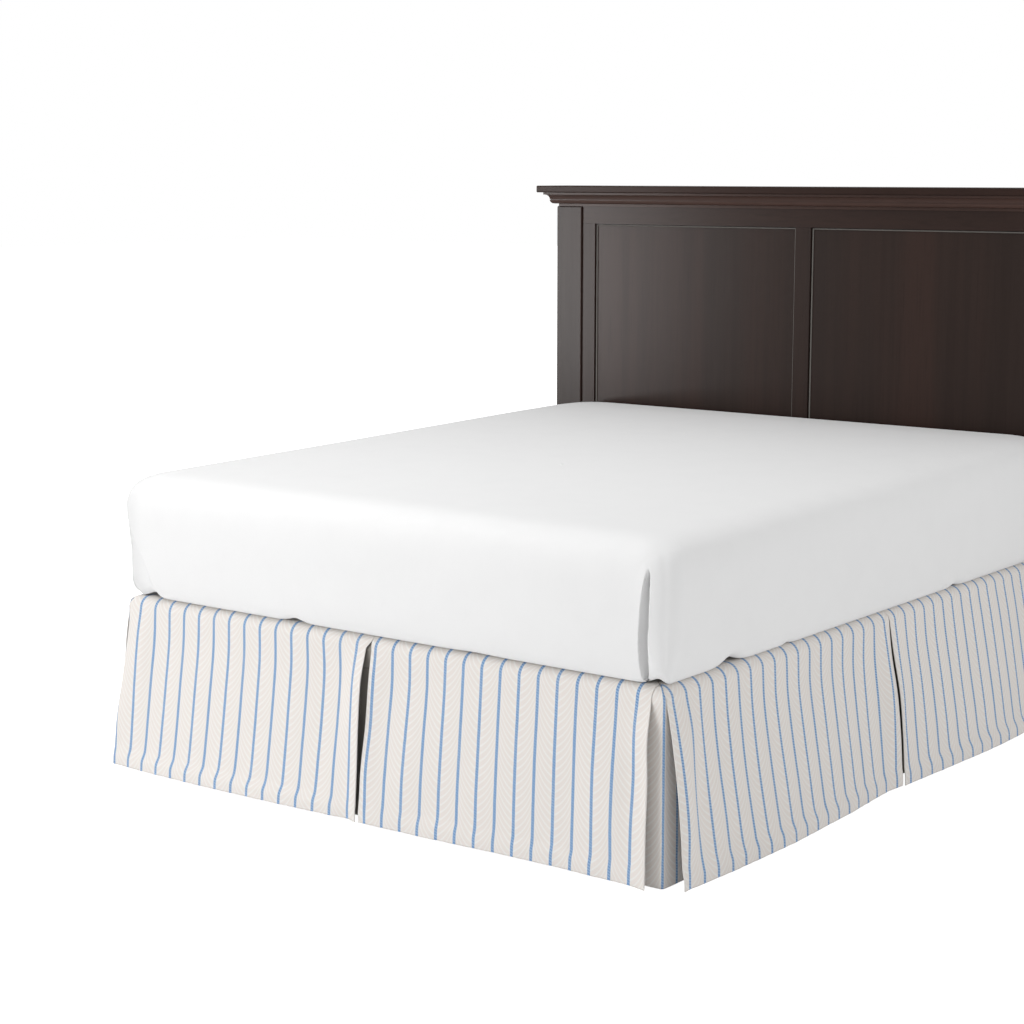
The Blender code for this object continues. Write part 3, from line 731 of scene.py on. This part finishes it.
def drop_reach(panel, along, z):
    """How far the cloth's outer face stands off the wall along a row of the drop, in metres."""
    places = [s.along for s in panel.sections]
    levels = [np.full_like(along, TOP_REACH)]
    for column in ("shoulder", "upper", "lower", "hem_line", "edge"):
        levels.append(through(along, places, [getattr(s, column) for s in panel.sections]))
    hem_line, edge = levels[-2:]
    levels.insert(-1, hem_line + HEM_SWELL * (edge - hem_line))
    reach = through(LEVELS[0] - z, [LEVELS[0] - level for level in LEVELS], np.array(levels))
    return (reach + crease_height(panel.creases, along, z) + hem_pull(panel, along, z)) / 1000.0


def edge_place(edge, z):
    """Place of a free edge along the wall at a height of the drop."""
    drop = ROLL_Z - HEM_Z
    return float(through(ROLL_Z - z, (0.0, ROLL_Z - LEVELS[1], drop / 2, drop), edge))


def onto_wall(wall, along, out, z):
    """Points of a row, from a wall's own measures to the row's frame."""
    z = np.broadcast_to(z, along.shape)
    out = np.broadcast_to(out, along.shape)
    if wall == "foot":
        return np.stack([along, FOOT_WALL - out, z], axis=-1)
    side = 1.0 if wall == "right" else -1.0
    return np.stack([side * (HALF_WIDTH + out), FOOT_WALL + along, z], axis=-1)


def panel_row(panel, out, z):
    """(points, places along the wall) of one row of a panel."""
    start = edge_place(panel.start, min(z, ROLL_Z))
    end = edge_place(panel.end, min(z, ROLL_Z))
    if out is not None:
        inward = max(-out, 0.0) + MITRE_GAP
        if panel.start_corner:
            start = max(start, (-HALF_WIDTH if panel.wall == "foot" else 0.0) + inward)
        if panel.end_corner:
            end = min(end, HALF_WIDTH - inward)
        # The free edges come together over the bend.
        closing = float(eased(z, ROLL_Z, SKIRT_TOP - SPLIT_CLOSED))
        split = SPLITS[panel.wall]
        if abs(start - split) < SPLIT_NEAR:
            start += closing * (split + SPLIT_GAP - start)
        if abs(end - split) < SPLIT_NEAR:
            end += closing * (split - SPLIT_GAP - end)
    along = start + (end - start) * crowded(PANEL_COLUMNS + 1, END_CROWDING)
    if out is None:
        out = drop_reach(panel, along, z) - CLOTH / 2
    return onto_wall(panel.wall, along, out, z), along


def low_hem(heights):
    """1 where the cloth is turned up at its hem, 0 above."""
    return 1 - eased(heights, HEM_LINE_Z - LOW_HEM_STEP, HEM_LINE_Z + LOW_HEM_STEP)


def build_panel(panel, material):
    """One drop panel: return, bend, drop and hem in a single sheet."""
    rows = panel_rows()
    made = [panel_row(panel, out, z) for out, z in rows]
    points = np.array([row for row, _ in made])
    along = np.array([places for _, places in made])
    middle = points[:, points.shape[1] // 2]
    fall = np.concatenate([[0.0], np.cumsum(np.linalg.norm(np.diff(middle, axis=0), axis=1))])
    up = np.broadcast_to(-fall[:, None], along.shape)
    flat = np.stack([along - panel.first_stripe, up], axis=-1)

    to_side = np.minimum(along - along[:, :1], along[:, -1:] - along)
    heights = np.array([z for _, z in rows])[:, None]
    dropped = eased(ROLL_Z - heights, *TURN_START)
    side_hem = 1 - eased(to_side, SIDE_HEM - SIDE_HEM_STEP, SIDE_HEM + SIDE_HEM_STEP)
    turned = np.maximum(side_hem, low_hem(heights)) * dropped
    rim = (1 - eased(to_side, *RIM_BAND)) * eased(ROLL_Z - heights, *RIM_START)
    obj, places = grid_object(panel.name + "_cloth", points, flat, rim)
    thicken(obj, places, turned)

    finish_sheet(obj, material, panel.name)


def insert_place(side, place, out, z):
    """(point, distance round the corner) on a corner insert. place runs from -1 to 1."""
    bend_share = 0.12
    bend = INSERT_BEND * max(1 + min(out, 0.0) / ROLL_BACK, 0.1)
    arc = bend * math.pi / 4
    leg = INSERT_LEG - bend + out
    if abs(place) <= bend_share:
        angle = (place / bend_share - 1) * math.pi / 4
        x = HALF_WIDTH + out - bend + bend * math.cos(angle)
        y = -out + bend + bend * math.sin(angle)
        return (side * x, FOOT_WALL + y, z), arc * place / bend_share
    share = (abs(place) - bend_share) / (1 - bend_share)
    if place < 0:
        point = (side * (HALF_WIDTH + out - bend - share * leg), FOOT_WALL - out, z)
        return point, -arc - share * leg
    return (side * (HALF_WIDTH + out), FOOT_WALL - out + bend + share * leg, z), arc + share * leg


def build_insert(name, side, skirt, material):
    """The underlay that closes a split corner: one strip bent round it, hanging straight."""
    rows = bend_rows(ROLL_RADIUS - 1.5 * CLOTH - GAP)
    face = rows[-1][0]
    rows += [(face, z) for z in np.linspace(ROLL_Z, INSERT_HEM_Z, INSERT_ROWS)[1:]]
    points = np.zeros((len(rows), INSERT_COLUMNS, 3))
    flat = np.zeros((len(rows), INSERT_COLUMNS, 2))
    fall = 0.0
    for i, (out, z) in enumerate(rows):
        if i:
            fall += math.dist((out, z), rows[i - 1])
        hang = eased(ROLL_Z - z, *INSERT_HANG)
        for j, place in enumerate(np.linspace(-1.0, 1.0, INSERT_COLUMNS)):
            # A soft wave runs down each leg, and the bend opens a little towards the hem.
            wave = math.sin(3.4 * abs(place) + 9.0 * z) * min(abs(place) * 4, 1.0)
            stand = hang * (INSERT_OPENING + INSERT_WAVE * wave)
            points[i, j], around = insert_place(side, place, out + stand, z)
            # One of the stripes without barbs runs down the corner, narrowed by a tuck there.
            tuck = math.copysign(min(abs(around), INSERT_TUCK), around)
            flat[i, j] = (around + tuck + skirt.stripe_pitch, -fall)
    obj, places = grid_object(name + "_cloth", points, flat, np.zeros(points.shape[:2]))
    heights = np.array([[z] * INSERT_COLUMNS for _, z in rows])
    thicken(obj, places, low_hem(heights))
    finish_sheet(obj, material, name)


def build_deck(material):
    """The flat cloth under the mattress, with the slight waves of a cloth laid by hand."""
    steps = 60
    inset = 0.001
    xs = np.linspace(DECK_LOW.x + inset, DECK_HIGH.x - inset, steps)
    ys = np.linspace(DECK_LOW.y + inset, DECK_HIGH.y - inset, steps)
    middle = (DECK_LOW.z + DECK_HIGH.z) / 2
    points = np.zeros((steps, steps, 3))
    for i, y in enumerate(ys):
        for j, x in enumerate(xs):
            rise = 0.0004 * (1 + noise.noise(Vector((4 * x, 4 * y, 0.0))))
            points[i, j] = (x, y, middle + rise)
    flat = points[:, :, :2].copy()
    obj, places = grid_object("deck_cloth", points, flat)
    thicken(obj, places, np.zeros((steps, steps)))
    finish_sheet(obj, material, "deck")


# ================================================================ the mattress in its sheet
def ring_places():
    """(side, share) of the points round a loop: the four sides in turn, then their corners."""
    def steps(dense_start, middle, dense_end, reach):
        start = np.linspace(0.0, reach, dense_start + 1)[:-1]
        centre = np.linspace(reach, 1 - reach, middle + 1)[:-1]
        end = np.linspace(1 - reach, 1.0, dense_end + 1)
        return np.concatenate([start, centre, end])

    head_arc = np.linspace(0.0, 1.0, 15)[1:-1]
    foot_arc = np.linspace(0.0, 1.0, 45)[1:-1]
    near_arc = np.linspace(0.0, 1.0, 70)[1:-1]
    places = []
    for name, shares in (("foot", steps(50, 84, 110, 0.10)), ("corner0", near_arc),
                         ("right", steps(40, 110, 30, 0.08)), ("corner1", head_arc),
                         ("head", np.linspace(0.0, 1.0, 61)), ("corner2", head_arc),
                         ("left", steps(30, 110, 40, 0.08)), ("corner3", foot_arc)):
        places += [(name, float(share)) for share in shares]
    return places


def dart_depth(wall, corner_distance, toward, z):
    """How far a corner's fold presses the sheet in, in metres, next to the given corner."""
    depth = 0.0
    for dart in DARTS:
        if dart.wall != wall or dart.corner != toward:
            continue
        low, high = dart.heights[0], dart.heights[-1]
        if not low - DART_RUN_ON < z < high:
            continue
        lip = float(through(z, dart.heights, dart.lip))
        back = float(through(z, dart.heights, dart.back))
        fade = float(eased(high - z, 0.0, DART_FADE))
        behind = (lip - corner_distance) / max(lip - back, 0.001)
        if behind > 0:
            slant = LIP_STEP * float(eased(lip - corner_distance, 0.0, LIP_TURN))
            slant += (1 - LIP_STEP) * min(behind, 1.0)
            turned = float(eased(back - corner_distance, 0.0, dart.turn))
            depth += dart.depth * fade * slant * (1 - turned)
        else:
            # The lip itself stands a little proud.
            depth -= LIP_SWELL * fade * math.exp(-(corner_distance - lip) / LIP_FADE)
    return depth


def on_loop(side, share, reach, z):
    """(x, y, normal) at a share of one side or corner of a loop round the mattress."""
    half_x = HALF_WIDTH + reach
    front = -reach
    back = BED_LENGTH - GAP + HEAD_ROUNDING * min(reach, 0.0)
    opened = float(eased(z, *CORNER_OPENS))
    radius = SHEET_CORNER * (LOW_CORNER_SHARE + (1 - LOW_CORNER_SHARE) * opened)
    if side.startswith("corner"):
        corners = ((half_x - radius, front + radius), (half_x - radius, back - radius),
                   (-half_x + radius, back - radius), (-half_x + radius, front + radius))
        number = int(side[-1])
        angle = math.radians(90.0 * (number - 1 + share))
        normal = Vector((math.cos(angle), math.sin(angle), 0.0))
        x, y = corners[number]
        return x + radius * normal.x, y + radius * normal.y, normal
    if side in ("foot", "head"):
        direction = 1 if side == "foot" else -1
        x = direction * (-half_x + radius + share * (2 * half_x - 2 * radius))
        return x, front if side == "foot" else back, Vector((0.0, -direction, 0.0))
    direction = 1 if side == "right" else -1
    way = share * (back - front - 2 * radius)
    y = front + radius + way if side == "right" else back - radius - way
    return direction * half_x, y, Vector((direction, 0.0, 0.0))


def pressed_in(side, share, x, y, z, dart_share):
    """How far the corners' folds and creases press the sheet in, in metres."""
    depth = 0.0
    if side == "foot":
        depth += dart_share * dart_depth("foot", HALF_WIDTH - x, 1, z)
        depth += dart_share * dart_depth("foot", HALF_WIDTH + x, -1, z)
    elif side in ("right", "left"):
        depth += dart_share * dart_depth(side, BED_LENGTH - y, 1, z)
    elif side in ("corner0", "corner3"):
        toward = 1 if side == "corner0" else -1
        depth += dart_share * dart_depth("foot", HALF_WIDTH - abs(x), toward, z)
    if side == "corner0":
        down = float(eased(z, *BEND_CREASE_LOW) * (1 - eased(z, *BEND_CREASE_HIGH)))
        across = (share - BEND_CREASE) / BEND_CREASE_WIDTH
        depth += BEND_CREASE_DEPTH * down * math.exp(-across ** 2)
    distance = HALF_WIDTH - x
    if side in ("foot", "corner0") and distance < ARCH_DISTANCES[-1]:
        arch = float(through(max(distance, 0.0), ARCH_DISTANCES, ARCH_HEIGHTS))
        fade = 1 - float(eased(distance, ARCH_DISTANCES[-1] - ARCH_FADE, ARCH_DISTANCES[-1]))
        fade *= float(eased(distance, -ARCH_START, 0.0))
        depth += ARCH_DEPTH * fade * math.exp(-((z - arch) / ARCH_WIDTH) ** 2)
    return depth


def lifted(side, share, x, y, z):
    """How far the sheet's lower edge lifts off the skirt, and its top rises to the head."""
    wall = "foot" if side in ("corner0", "corner3") else side
    along = x if wall == "foot" else y
    low = 1 - float(eased(z, *LIFT_HEIGHTS))
    if side == "corner0":
        low *= 1 - float(eased(share, *NEAR_LIFT_FADE))
    elif side == "corner3":
        low *= float(eased(share, *FAR_LIFT_FADE))
    lift = float(eased(z, *RISE_HEIGHTS)) * float(through(y, RISE_PLACES, RISE))
    for place in LIFTS:
        if place.wall == wall:
            lift += low * place.height * math.exp(-((along - place.along) / place.width) ** 2)
    return lift


def sheet_point(place, reach, z, dart_share):
    """A point of the sheet, at a place of a loop round the mattress."""
    side, share = place
    x, y, normal = on_loop(side, share, reach, z)
    push = -pressed_in(side, share, x, y, z, dart_share)
    if side != "head":
        # The filling is a little uneven, more so low on the sides.
        wave = noise.noise(Vector((2.2 * x, 2.2 * y, 3.0 * z)))
        ripple = noise.noise(Vector((6.5 * x, 6.5 * y, 9.0 * z + 4.0)))
        uneven = FILLING_WAVE * wave + FILLING_RIPPLE * ripple
        push += float(eased(z, *FILLING_HEIGHTS)) * uneven
    lift = lifted(side, share, x, y, z)
    return Vector((x, y + FOOT_WALL, z + lift)) + normal * push


def sheet_rows():
    """(reach, height) of the loops from the underside, up the side and in over the top."""
    reach = np.array([p.reach for p in SHEET_PROFILE]) / 1000.0
    height = np.array([p.height for p in SHEET_PROFILE])
    way = np.concatenate([[0.0], np.cumsum(np.hypot(np.diff(reach), np.diff(height)))])
    steps = np.linspace(0.0, way[-1], SHEET_ROWS)
    rows = list(zip(through(steps, way, reach), through(steps, way, height)))
    inner = -(HALF_WIDTH - SHEET_CORNER - 0.004)
    top = np.linspace(reach[-1], inner, CROWN_LOOPS)[1:]
    below = np.linspace(inner, reach[0], 5)[:-1]
    crown = [(r, height[-1] + (SHEET_CROWN_Z - height[-1]) * float(eased(reach[-1] - r, 0.0, 0.5)))
             for r in top]
    return [(r, height[0]) for r in below] + rows + crown


def build_mattress(material):
    """The mattress in its fitted sheet: a closed soft block with folds at its corners."""
    places = ring_places()
    bm = bmesh.new()
    loops = []
    for reach, z in sheet_rows():
        dart_share = float(eased(reach, -0.02, 0.0))
        loops.append([bm.verts.new(sheet_point(place, reach, z, dart_share)) for place in places])
    count = len(places)
    for below, above in zip(loops, loops[1:]):
        for k in range(count):
            bm.faces.new((below[k], below[(k + 1) % count], above[(k + 1) % count], above[k]))
    bm.faces.new(list(reversed(loops[0])))
    bm.faces.new(loops[-1])
    bmesh.ops.triangulate(bm, faces=[f for f in bm.faces if len(f.verts) > 4])
    obj = smooth_object("mattress_in_sheet", bm)
    obj.data.materials.append(material)
    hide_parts("mattress")
    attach(obj, ROOT)


# ================================================================ the headboard's beads
def build_bead(name, node, radius, material):
    """A rounded bead that runs round a headboard panel, against its frame."""
    low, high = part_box(node)
    inset = radius * 1.05
    depth = low.y - radius * 0.35
    corners = ((low.x + inset, low.z + inset), (high.x - inset, low.z + inset),
               (high.x - inset, high.z - inset), (low.x + inset, high.z - inset))
    curve = bpy.data.curves.new(name, "CURVE")
    curve.dimensions = "3D"
    curve.bevel_depth = radius
    curve.bevel_resolution = 3
    spline = curve.splines.new("POLY")
    spline.points.add(len(corners) - 1)
    for point, (x, z) in zip(spline.points, corners):
        point.co = (x, depth, z, 1.0)
    spline.use_cyclic_u = True
    shape = bpy.data.objects.new(name + "_line", curve)
    bpy.context.collection.objects.link(shape)
    graph = bpy.context.evaluated_depsgraph_get()
    mesh = bpy.data.meshes.new_from_object(shape.evaluated_get(graph))
    bpy.data.objects.remove(shape)
    mesh.name = name
    obj = bpy.data.objects.new(name, mesh)
    bpy.context.collection.objects.link(obj)
    obj.data.materials.clear()
    obj.data.materials.append(material)
    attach(obj, ROOT)


# ================================================================ settings
class SkirtSettings(bpy.types.PropertyGroup):
    """Sizes and colours of the striped cloth."""

    stripe_pitch: FloatProperty(name="Stripe pitch", description="From one blue stripe to the next",
                                default=0.05124, precision=5, unit="LENGTH")
    stripe_width: FloatProperty(name="Stripe width", description="Width of a blue stripe",
                                default=0.0078, precision=4, unit="LENGTH")
    dot_spacing: FloatProperty(name="Dot spacing", description="Repeat of the dots up a stripe",
                               default=0.0062, precision=4, unit="LENGTH")
    barb_spacing: FloatProperty(name="Barb spacing",
                                description="Repeat of the feather barbs up the cloth",
                                default=0.0166, precision=4, unit="LENGTH")
    barb_width: FloatProperty(name="Barb width", description="Height of one barb's pale yarn",
                              default=0.0046, precision=4, unit="LENGTH")
    barb_curl: FloatProperty(name="Barb curl", description="Run over which a barb steepens",
                             default=0.0275, precision=4, unit="LENGTH")
    barb_slope: FloatProperty(name="Barb slope",
                              description="Rise over run where a barb leaves its spine",
                              default=0.46)
    ground_color: FloatVectorProperty(name="Ground", description="Colour of the cloth's ground",
                                      default=(0.712, 0.672, 0.638), subtype="COLOR")
    twill_color: FloatVectorProperty(name="Twill lines",
                                     description="Colour of the fine slanting lines",
                                     default=(0.684, 0.634, 0.594), subtype="COLOR")
    barb_color: FloatVectorProperty(name="Barbs", description="Colour of the feather barbs",
                                    default=(0.745, 0.735, 0.712), subtype="COLOR")
    border_color: FloatVectorProperty(name="Border", description="Colour beside each stripe",
                                      default=(0.725, 0.680, 0.630), subtype="COLOR")
    edge_color: FloatVectorProperty(name="Turned edge",
                                    description="Colour of the turned free edges",
                                    default=(0.740, 0.715, 0.685), subtype="COLOR")
    stripe_pale_color: FloatVectorProperty(name="Stripe, pale", description="Pale yarn of the stripes",
                                           default=(0.265, 0.400, 0.600), subtype="COLOR")
    stripe_deep_color: FloatVectorProperty(name="Stripe, deep", description="Deep yarn of the stripes",
                                           default=(0.115, 0.240, 0.460), subtype="COLOR")
    speck_color: FloatVectorProperty(name="Stripe, specks", description="Specks between the dots",
                                     default=(0.46, 0.53, 0.60), subtype="COLOR")
    deck_color: FloatVectorProperty(name="Deck", description="Colour of the cloth under the mattress",
                                    default=(0.66, 0.62, 0.56), subtype="COLOR")


class BeddingSettings(bpy.types.PropertyGroup):
    """Colours of the fitted sheet."""

    sheet_color: FloatVectorProperty(name="Sheet", description="Colour of the fitted sheet",
                                     default=(0.768, 0.768, 0.768), subtype="COLOR")
    sheet_shade: FloatVectorProperty(name="Sheet, shade", description="Its slightly darker threads",
                                     default=(0.742, 0.742, 0.744), subtype="COLOR")
    # Painted shade: the sheet's greyer colour along its left edge.
    sheet_painted_shade: FloatVectorProperty(name="Sheet, edge", description="The sheet along its left edge",
                                    default=(0.665, 0.665, 0.665), subtype="COLOR")


class WoodSettings(bpy.types.PropertyGroup):
    """Colours and gloss of the headboard and the base."""

    warm_color: FloatVectorProperty(name="Warm", description="Reddish brown of the stain",
                                    default=(0.0310, 0.0172, 0.0138), subtype="COLOR")
    cool_color: FloatVectorProperty(name="Cool", description="Greyish brown of the stain",
                                    default=(0.0235, 0.0150, 0.0125), subtype="COLOR")
    # Painted highlight: the beads' pale grey stands in for the light that their lacquer catches.
    bead_painted_highlight_color: FloatVectorProperty(name="Bead highlight", description="The lacquer on the beads",
                                    default=(0.135, 0.125, 0.115), subtype="COLOR")
    deep_color: FloatVectorProperty(name="Deep", description="Colour in the pores and the figure",
                                    default=(0.0165, 0.0100, 0.0082), subtype="COLOR")
    roughness: FloatProperty(name="Roughness", description="Roughness of the satin lacquer",
                             default=0.20, subtype="FACTOR")
    gloss: FloatProperty(name="Gloss", description="Strength of the headboard's reflections",
                         default=0.11, subtype="FACTOR")
    cap_gloss: FloatProperty(name="Cap gloss", description="Strength of the cap's reflections",
                             default=0.06, subtype="FACTOR")
    base_gloss: FloatProperty(name="Base gloss", description="Strength of the base's reflections",
                              default=0.10, subtype="FACTOR")
    base_color: FloatVectorProperty(name="Base", description="Grey of the base's boards",
                                    default=(0.290, 0.272, 0.245), subtype="COLOR")
    base_deep_color: FloatVectorProperty(name="Base, deep", description="Its pores and figure",
                                         default=(0.200, 0.186, 0.168), subtype="COLOR")
    bead_radius: FloatProperty(name="Bead radius", description="Radius of the bead round each panel",
                               default=0.0032, precision=4, unit="LENGTH")


class StageSettings(bpy.types.PropertyGroup):
    """The camera, the floor and the lights."""

    lens: FloatProperty(name="Lens", description="Focal length on a 36 mm sensor", default=74.23)
    heading: FloatProperty(name="Heading", description="Camera's turn to the left of +Y, about +Z",
                           default=math.radians(37.549), subtype="ANGLE")
    pitch: FloatProperty(name="Pitch", description="Camera's tilt below the horizon",
                         default=math.radians(9.162), subtype="ANGLE")
    camera_place: FloatVectorProperty(name="Camera",
                                      description="From the middle of the foot wall at the floor",
                                      default=(3.1190, -3.5283, 1.4764), subtype="TRANSLATION")
    floor_size: FloatProperty(name="Floor", description="Length of the floor's sides", default=60.0,
                              unit="LENGTH")
    floor_color: FloatVectorProperty(name="Floor colour", description="Colour of the floor",
                                     default=(0.88, 0.88, 0.88), subtype="COLOR")
    floor_glow: FloatProperty(name="Floor glow", description="Light that the floor adds",
                              default=0.06)
    room_light: FloatProperty(name="Room light", description="Strength of the even white room",
                              default=0.565)
    box_share: FloatProperty(name="Soft boxes", description="Share of the soft boxes' powers",
                             default=1.0)


# ================================================================ operators
class BED_OT_drop_panels(bpy.types.Operator):
    """Build the six drop panels of striped cloth"""

    bl_idname = "bed_skirt.drop_panels"
    bl_label = "Drop panels"

    def execute(self, context):
        material = striped_cloth("striped_cloth", context.scene.bed_skirt)
        for panel in PANELS:
            build_panel(panel, material)
        return {"FINISHED"}


class BED_OT_corner_inserts(bpy.types.Operator):
    """Build the inserts behind the split corners"""

    bl_idname = "bed_skirt.corner_inserts"
    bl_label = "Corner inserts"

    def execute(self, context):
        skirt = context.scene.bed_skirt
        material = striped_cloth("striped_cloth_inserts", skirt)
        build_insert("corner_insert_left", -1, skirt, material)
        build_insert("corner_insert_right", 1, skirt, material)
        return {"FINISHED"}


class BED_OT_deck(bpy.types.Operator):
    """Build the plain cloth under the mattress"""

    bl_idname = "bed_skirt.deck"
    bl_label = "Deck"

    def execute(self, context):
        skirt = context.scene.bed_skirt
        build_deck(plain_cloth("deck_muslin", skirt.deck_color, skirt.twill_color, 0.0010, 0.0003))
        return {"FINISHED"}


class BED_OT_mattress(bpy.types.Operator):
    """Build the mattress in its white fitted sheet"""

    bl_idname = "bed_skirt.mattress"
    bl_label = "Mattress in its sheet"

    def execute(self, context):
        bedding = context.scene.bed_bedding
        # The sheet carries painted shade along its left edge.
        build_mattress(plain_cloth("sheet_percale", bedding.sheet_color, bedding.sheet_shade,
                                   0.0007, 0.0002, bedding.sheet_painted_shade))
        return {"FINISHED"}


class BED_OT_headboard(bpy.types.Operator):
    """Finish the headboard's wood and add the beads round its panels"""

    bl_idname = "bed_skirt.headboard"
    bl_label = "Headboard"

    def execute(self, context):
        wood = context.scene.bed_wood
        colors = (wood.warm_color, wood.cool_color, wood.deep_color)
        upright = stained_wood("stained_wood_upright", wood, UPRIGHT_GRAIN, wood.gloss, colors)
        level = stained_wood("stained_wood_level", wood, LEVEL_GRAIN, wood.gloss, colors)
        crown = stained_wood("stained_wood_crown", wood, LEVEL_GRAIN, wood.cap_gloss, colors)
        # Painted reflection: the cornice's stain is made paler, where its coves would mirror the white
        # floor and bed.
        painted_reflection_colors = tuple([COVE_PAINTED_REFLECTION * share for share in color] for color in colors)
        cornice = stained_wood("stained_wood_cornice_painted_reflection", wood, LEVEL_GRAIN, wood.gloss, painted_reflection_colors)
        # Painted highlight: the beads take a pale colour all over, for the light caught by their
        # lacquer.
        bead_painted_highlight_colors = (wood.bead_painted_highlight_color,) * 3
        bead = stained_wood("stained_wood_bead_painted_highlight", wood, EVEN_GRAIN, wood.gloss, bead_painted_highlight_colors)
        for name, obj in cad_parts.items():
            if name.startswith("head_"):
                finish = level if "rail" in name else upright
                finish = {"head_cornice": cornice, "head_cap": crown}.get(name, finish)
                obj.material_slots[0].material = finish
        for side in ("left", "right"):
            build_bead("head_bead_" + side, "head_panel_" + side, wood.bead_radius, bead)
        return {"FINISHED"}


class BED_OT_base(bpy.types.Operator):
    """Finish the boards of the base"""

    bl_idname = "bed_skirt.base"
    bl_label = "Base"

    def execute(self, context):
        wood = context.scene.bed_wood
        colors = (wood.base_color, wood.base_color, wood.base_deep_color)
        boards = stained_wood("base_wood_upright", wood, UPRIGHT_GRAIN, wood.base_gloss, colors)
        for name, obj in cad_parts.items():
            if name.startswith("base_"):
                obj.material_slots[0].material = boards
        return {"FINISHED"}


class BED_OT_stage(bpy.types.Operator):
    """Set up the floor, the light and the camera"""

    bl_idname = "bed_skirt.stage"
    bl_label = "Stage"

    def execute(self, context):
        scene = context.scene
        stage = scene.bed_stage
        scene.view_settings.view_transform = "Standard"
        self.add_floor(stage)
        self.add_room(scene, stage)
        self.add_lights(stage)
        self.add_camera(scene, stage)
        return {"FINISHED"}

    def add_floor(self, stage):
        bm = bmesh.new()
        bmesh.ops.create_grid(bm, x_segments=1, y_segments=1, size=stage.floor_size / 2)
        mesh = bpy.data.meshes.new("floor")
        bm.to_mesh(mesh)
        bm.free()
        floor = bpy.data.objects.new("floor", mesh)
        floor.location.z = CAD_BOX[0].z
        bpy.context.collection.objects.link(floor)
        mesh.materials.append(plain_floor("plain_floor", stage))

    def add_room(self, scene, stage):
        """A room that is white to the eye, and lights the bed as strongly as its setting says."""
        room = bpy.data.worlds.new("white_room")
        g = Graph(room)
        dim = g.add("ShaderNodeBackground", {}, {"Color": WHITE, "Strength": stage.room_light})
        bright = g.add("ShaderNodeBackground", {}, {"Color": WHITE, "Strength": 1.0})
        seen = g.add("ShaderNodeLightPath")
        shown = g.add("ShaderNodeMixShader", {}, {"Fac": seen, 1: dim, 2: bright})
        g.add("ShaderNodeOutputWorld", {}, {"Surface": shown})
        scene.world = room

    def add_lights(self, stage):
        for box in SOFT_BOXES:
            light = bpy.data.lights.new(box.name, "AREA")
            light.shape = "SQUARE"
            light.size = box.size
            light.energy = box.power * stage.box_share
            obj = bpy.data.objects.new(box.name, light)
            obj.location = box.place
            obj.visible_diffuse = not box.mirrored
            obj.visible_glossy = box.mirrored
            obj.rotation_euler = (LIGHTS_AIM - obj.location).to_track_quat("-Z", "Y").to_euler()
            bpy.context.collection.objects.link(obj)

    def add_camera(self, scene, stage):
        camera = bpy.data.cameras.new("camera")
        camera.sensor_width = SENSOR
        camera.lens = stage.lens
        obj = bpy.data.objects.new("camera", camera)
        obj.location = Vector(stage.camera_place) + Vector((0.0, FOOT_WALL, 0.0))
        obj.rotation_euler = (math.pi / 2 - stage.pitch, 0.0, stage.heading)
        bpy.context.collection.objects.link(obj)
        scene.camera = obj


class BED_PT_skirt(bpy.types.Panel):
    """Lists the operators and the main settings"""

    bl_idname = "BED_PT_skirt"
    bl_label = "Bed skirt"
    bl_space_type = "VIEW_3D"
    bl_region_type = "UI"
    bl_category = "Bed skirt"

    def draw(self, context):
        scene = context.scene
        for operator in OPERATORS:
            self.layout.operator(operator.bl_idname)
        for settings in (scene.bed_skirt, scene.bed_bedding, scene.bed_wood, scene.bed_stage):
            box = self.layout.box()
            for name in settings.__annotations__:
                box.prop(settings, name)


SETTINGS = {
    "bed_skirt": SkirtSettings,
    "bed_bedding": BeddingSettings,
    "bed_wood": WoodSettings,
    "bed_stage": StageSettings,
}
OPERATORS = (
    BED_OT_drop_panels,
    BED_OT_corner_inserts,
    BED_OT_deck,
    BED_OT_mattress,
    BED_OT_headboard,
    BED_OT_base,
    BED_OT_stage,
)


def register():
    for group in SETTINGS.values():
        bpy.utils.register_class(group)
    for name, group in SETTINGS.items():
        setattr(bpy.types.Scene, name, PointerProperty(type=group))
    for cls in (*OPERATORS, BED_PT_skirt):
        bpy.utils.register_class(cls)


def unregister():
    for cls in reversed((*OPERATORS, BED_PT_skirt)):
        bpy.utils.unregister_class(cls)
    for name in SETTINGS:
        delattr(bpy.types.Scene, name)
    for group in SETTINGS.values():
        bpy.utils.unregister_class(group)


def main():
    register()
    bpy.ops.bed_skirt.drop_panels()
    bpy.ops.bed_skirt.corner_inserts()
    bpy.ops.bed_skirt.deck()
    bpy.ops.bed_skirt.mattress()
    bpy.ops.bed_skirt.headboard()
    bpy.ops.bed_skirt.base()
    bpy.ops.bed_skirt.stage()


if __name__ == "__main__":
    main()
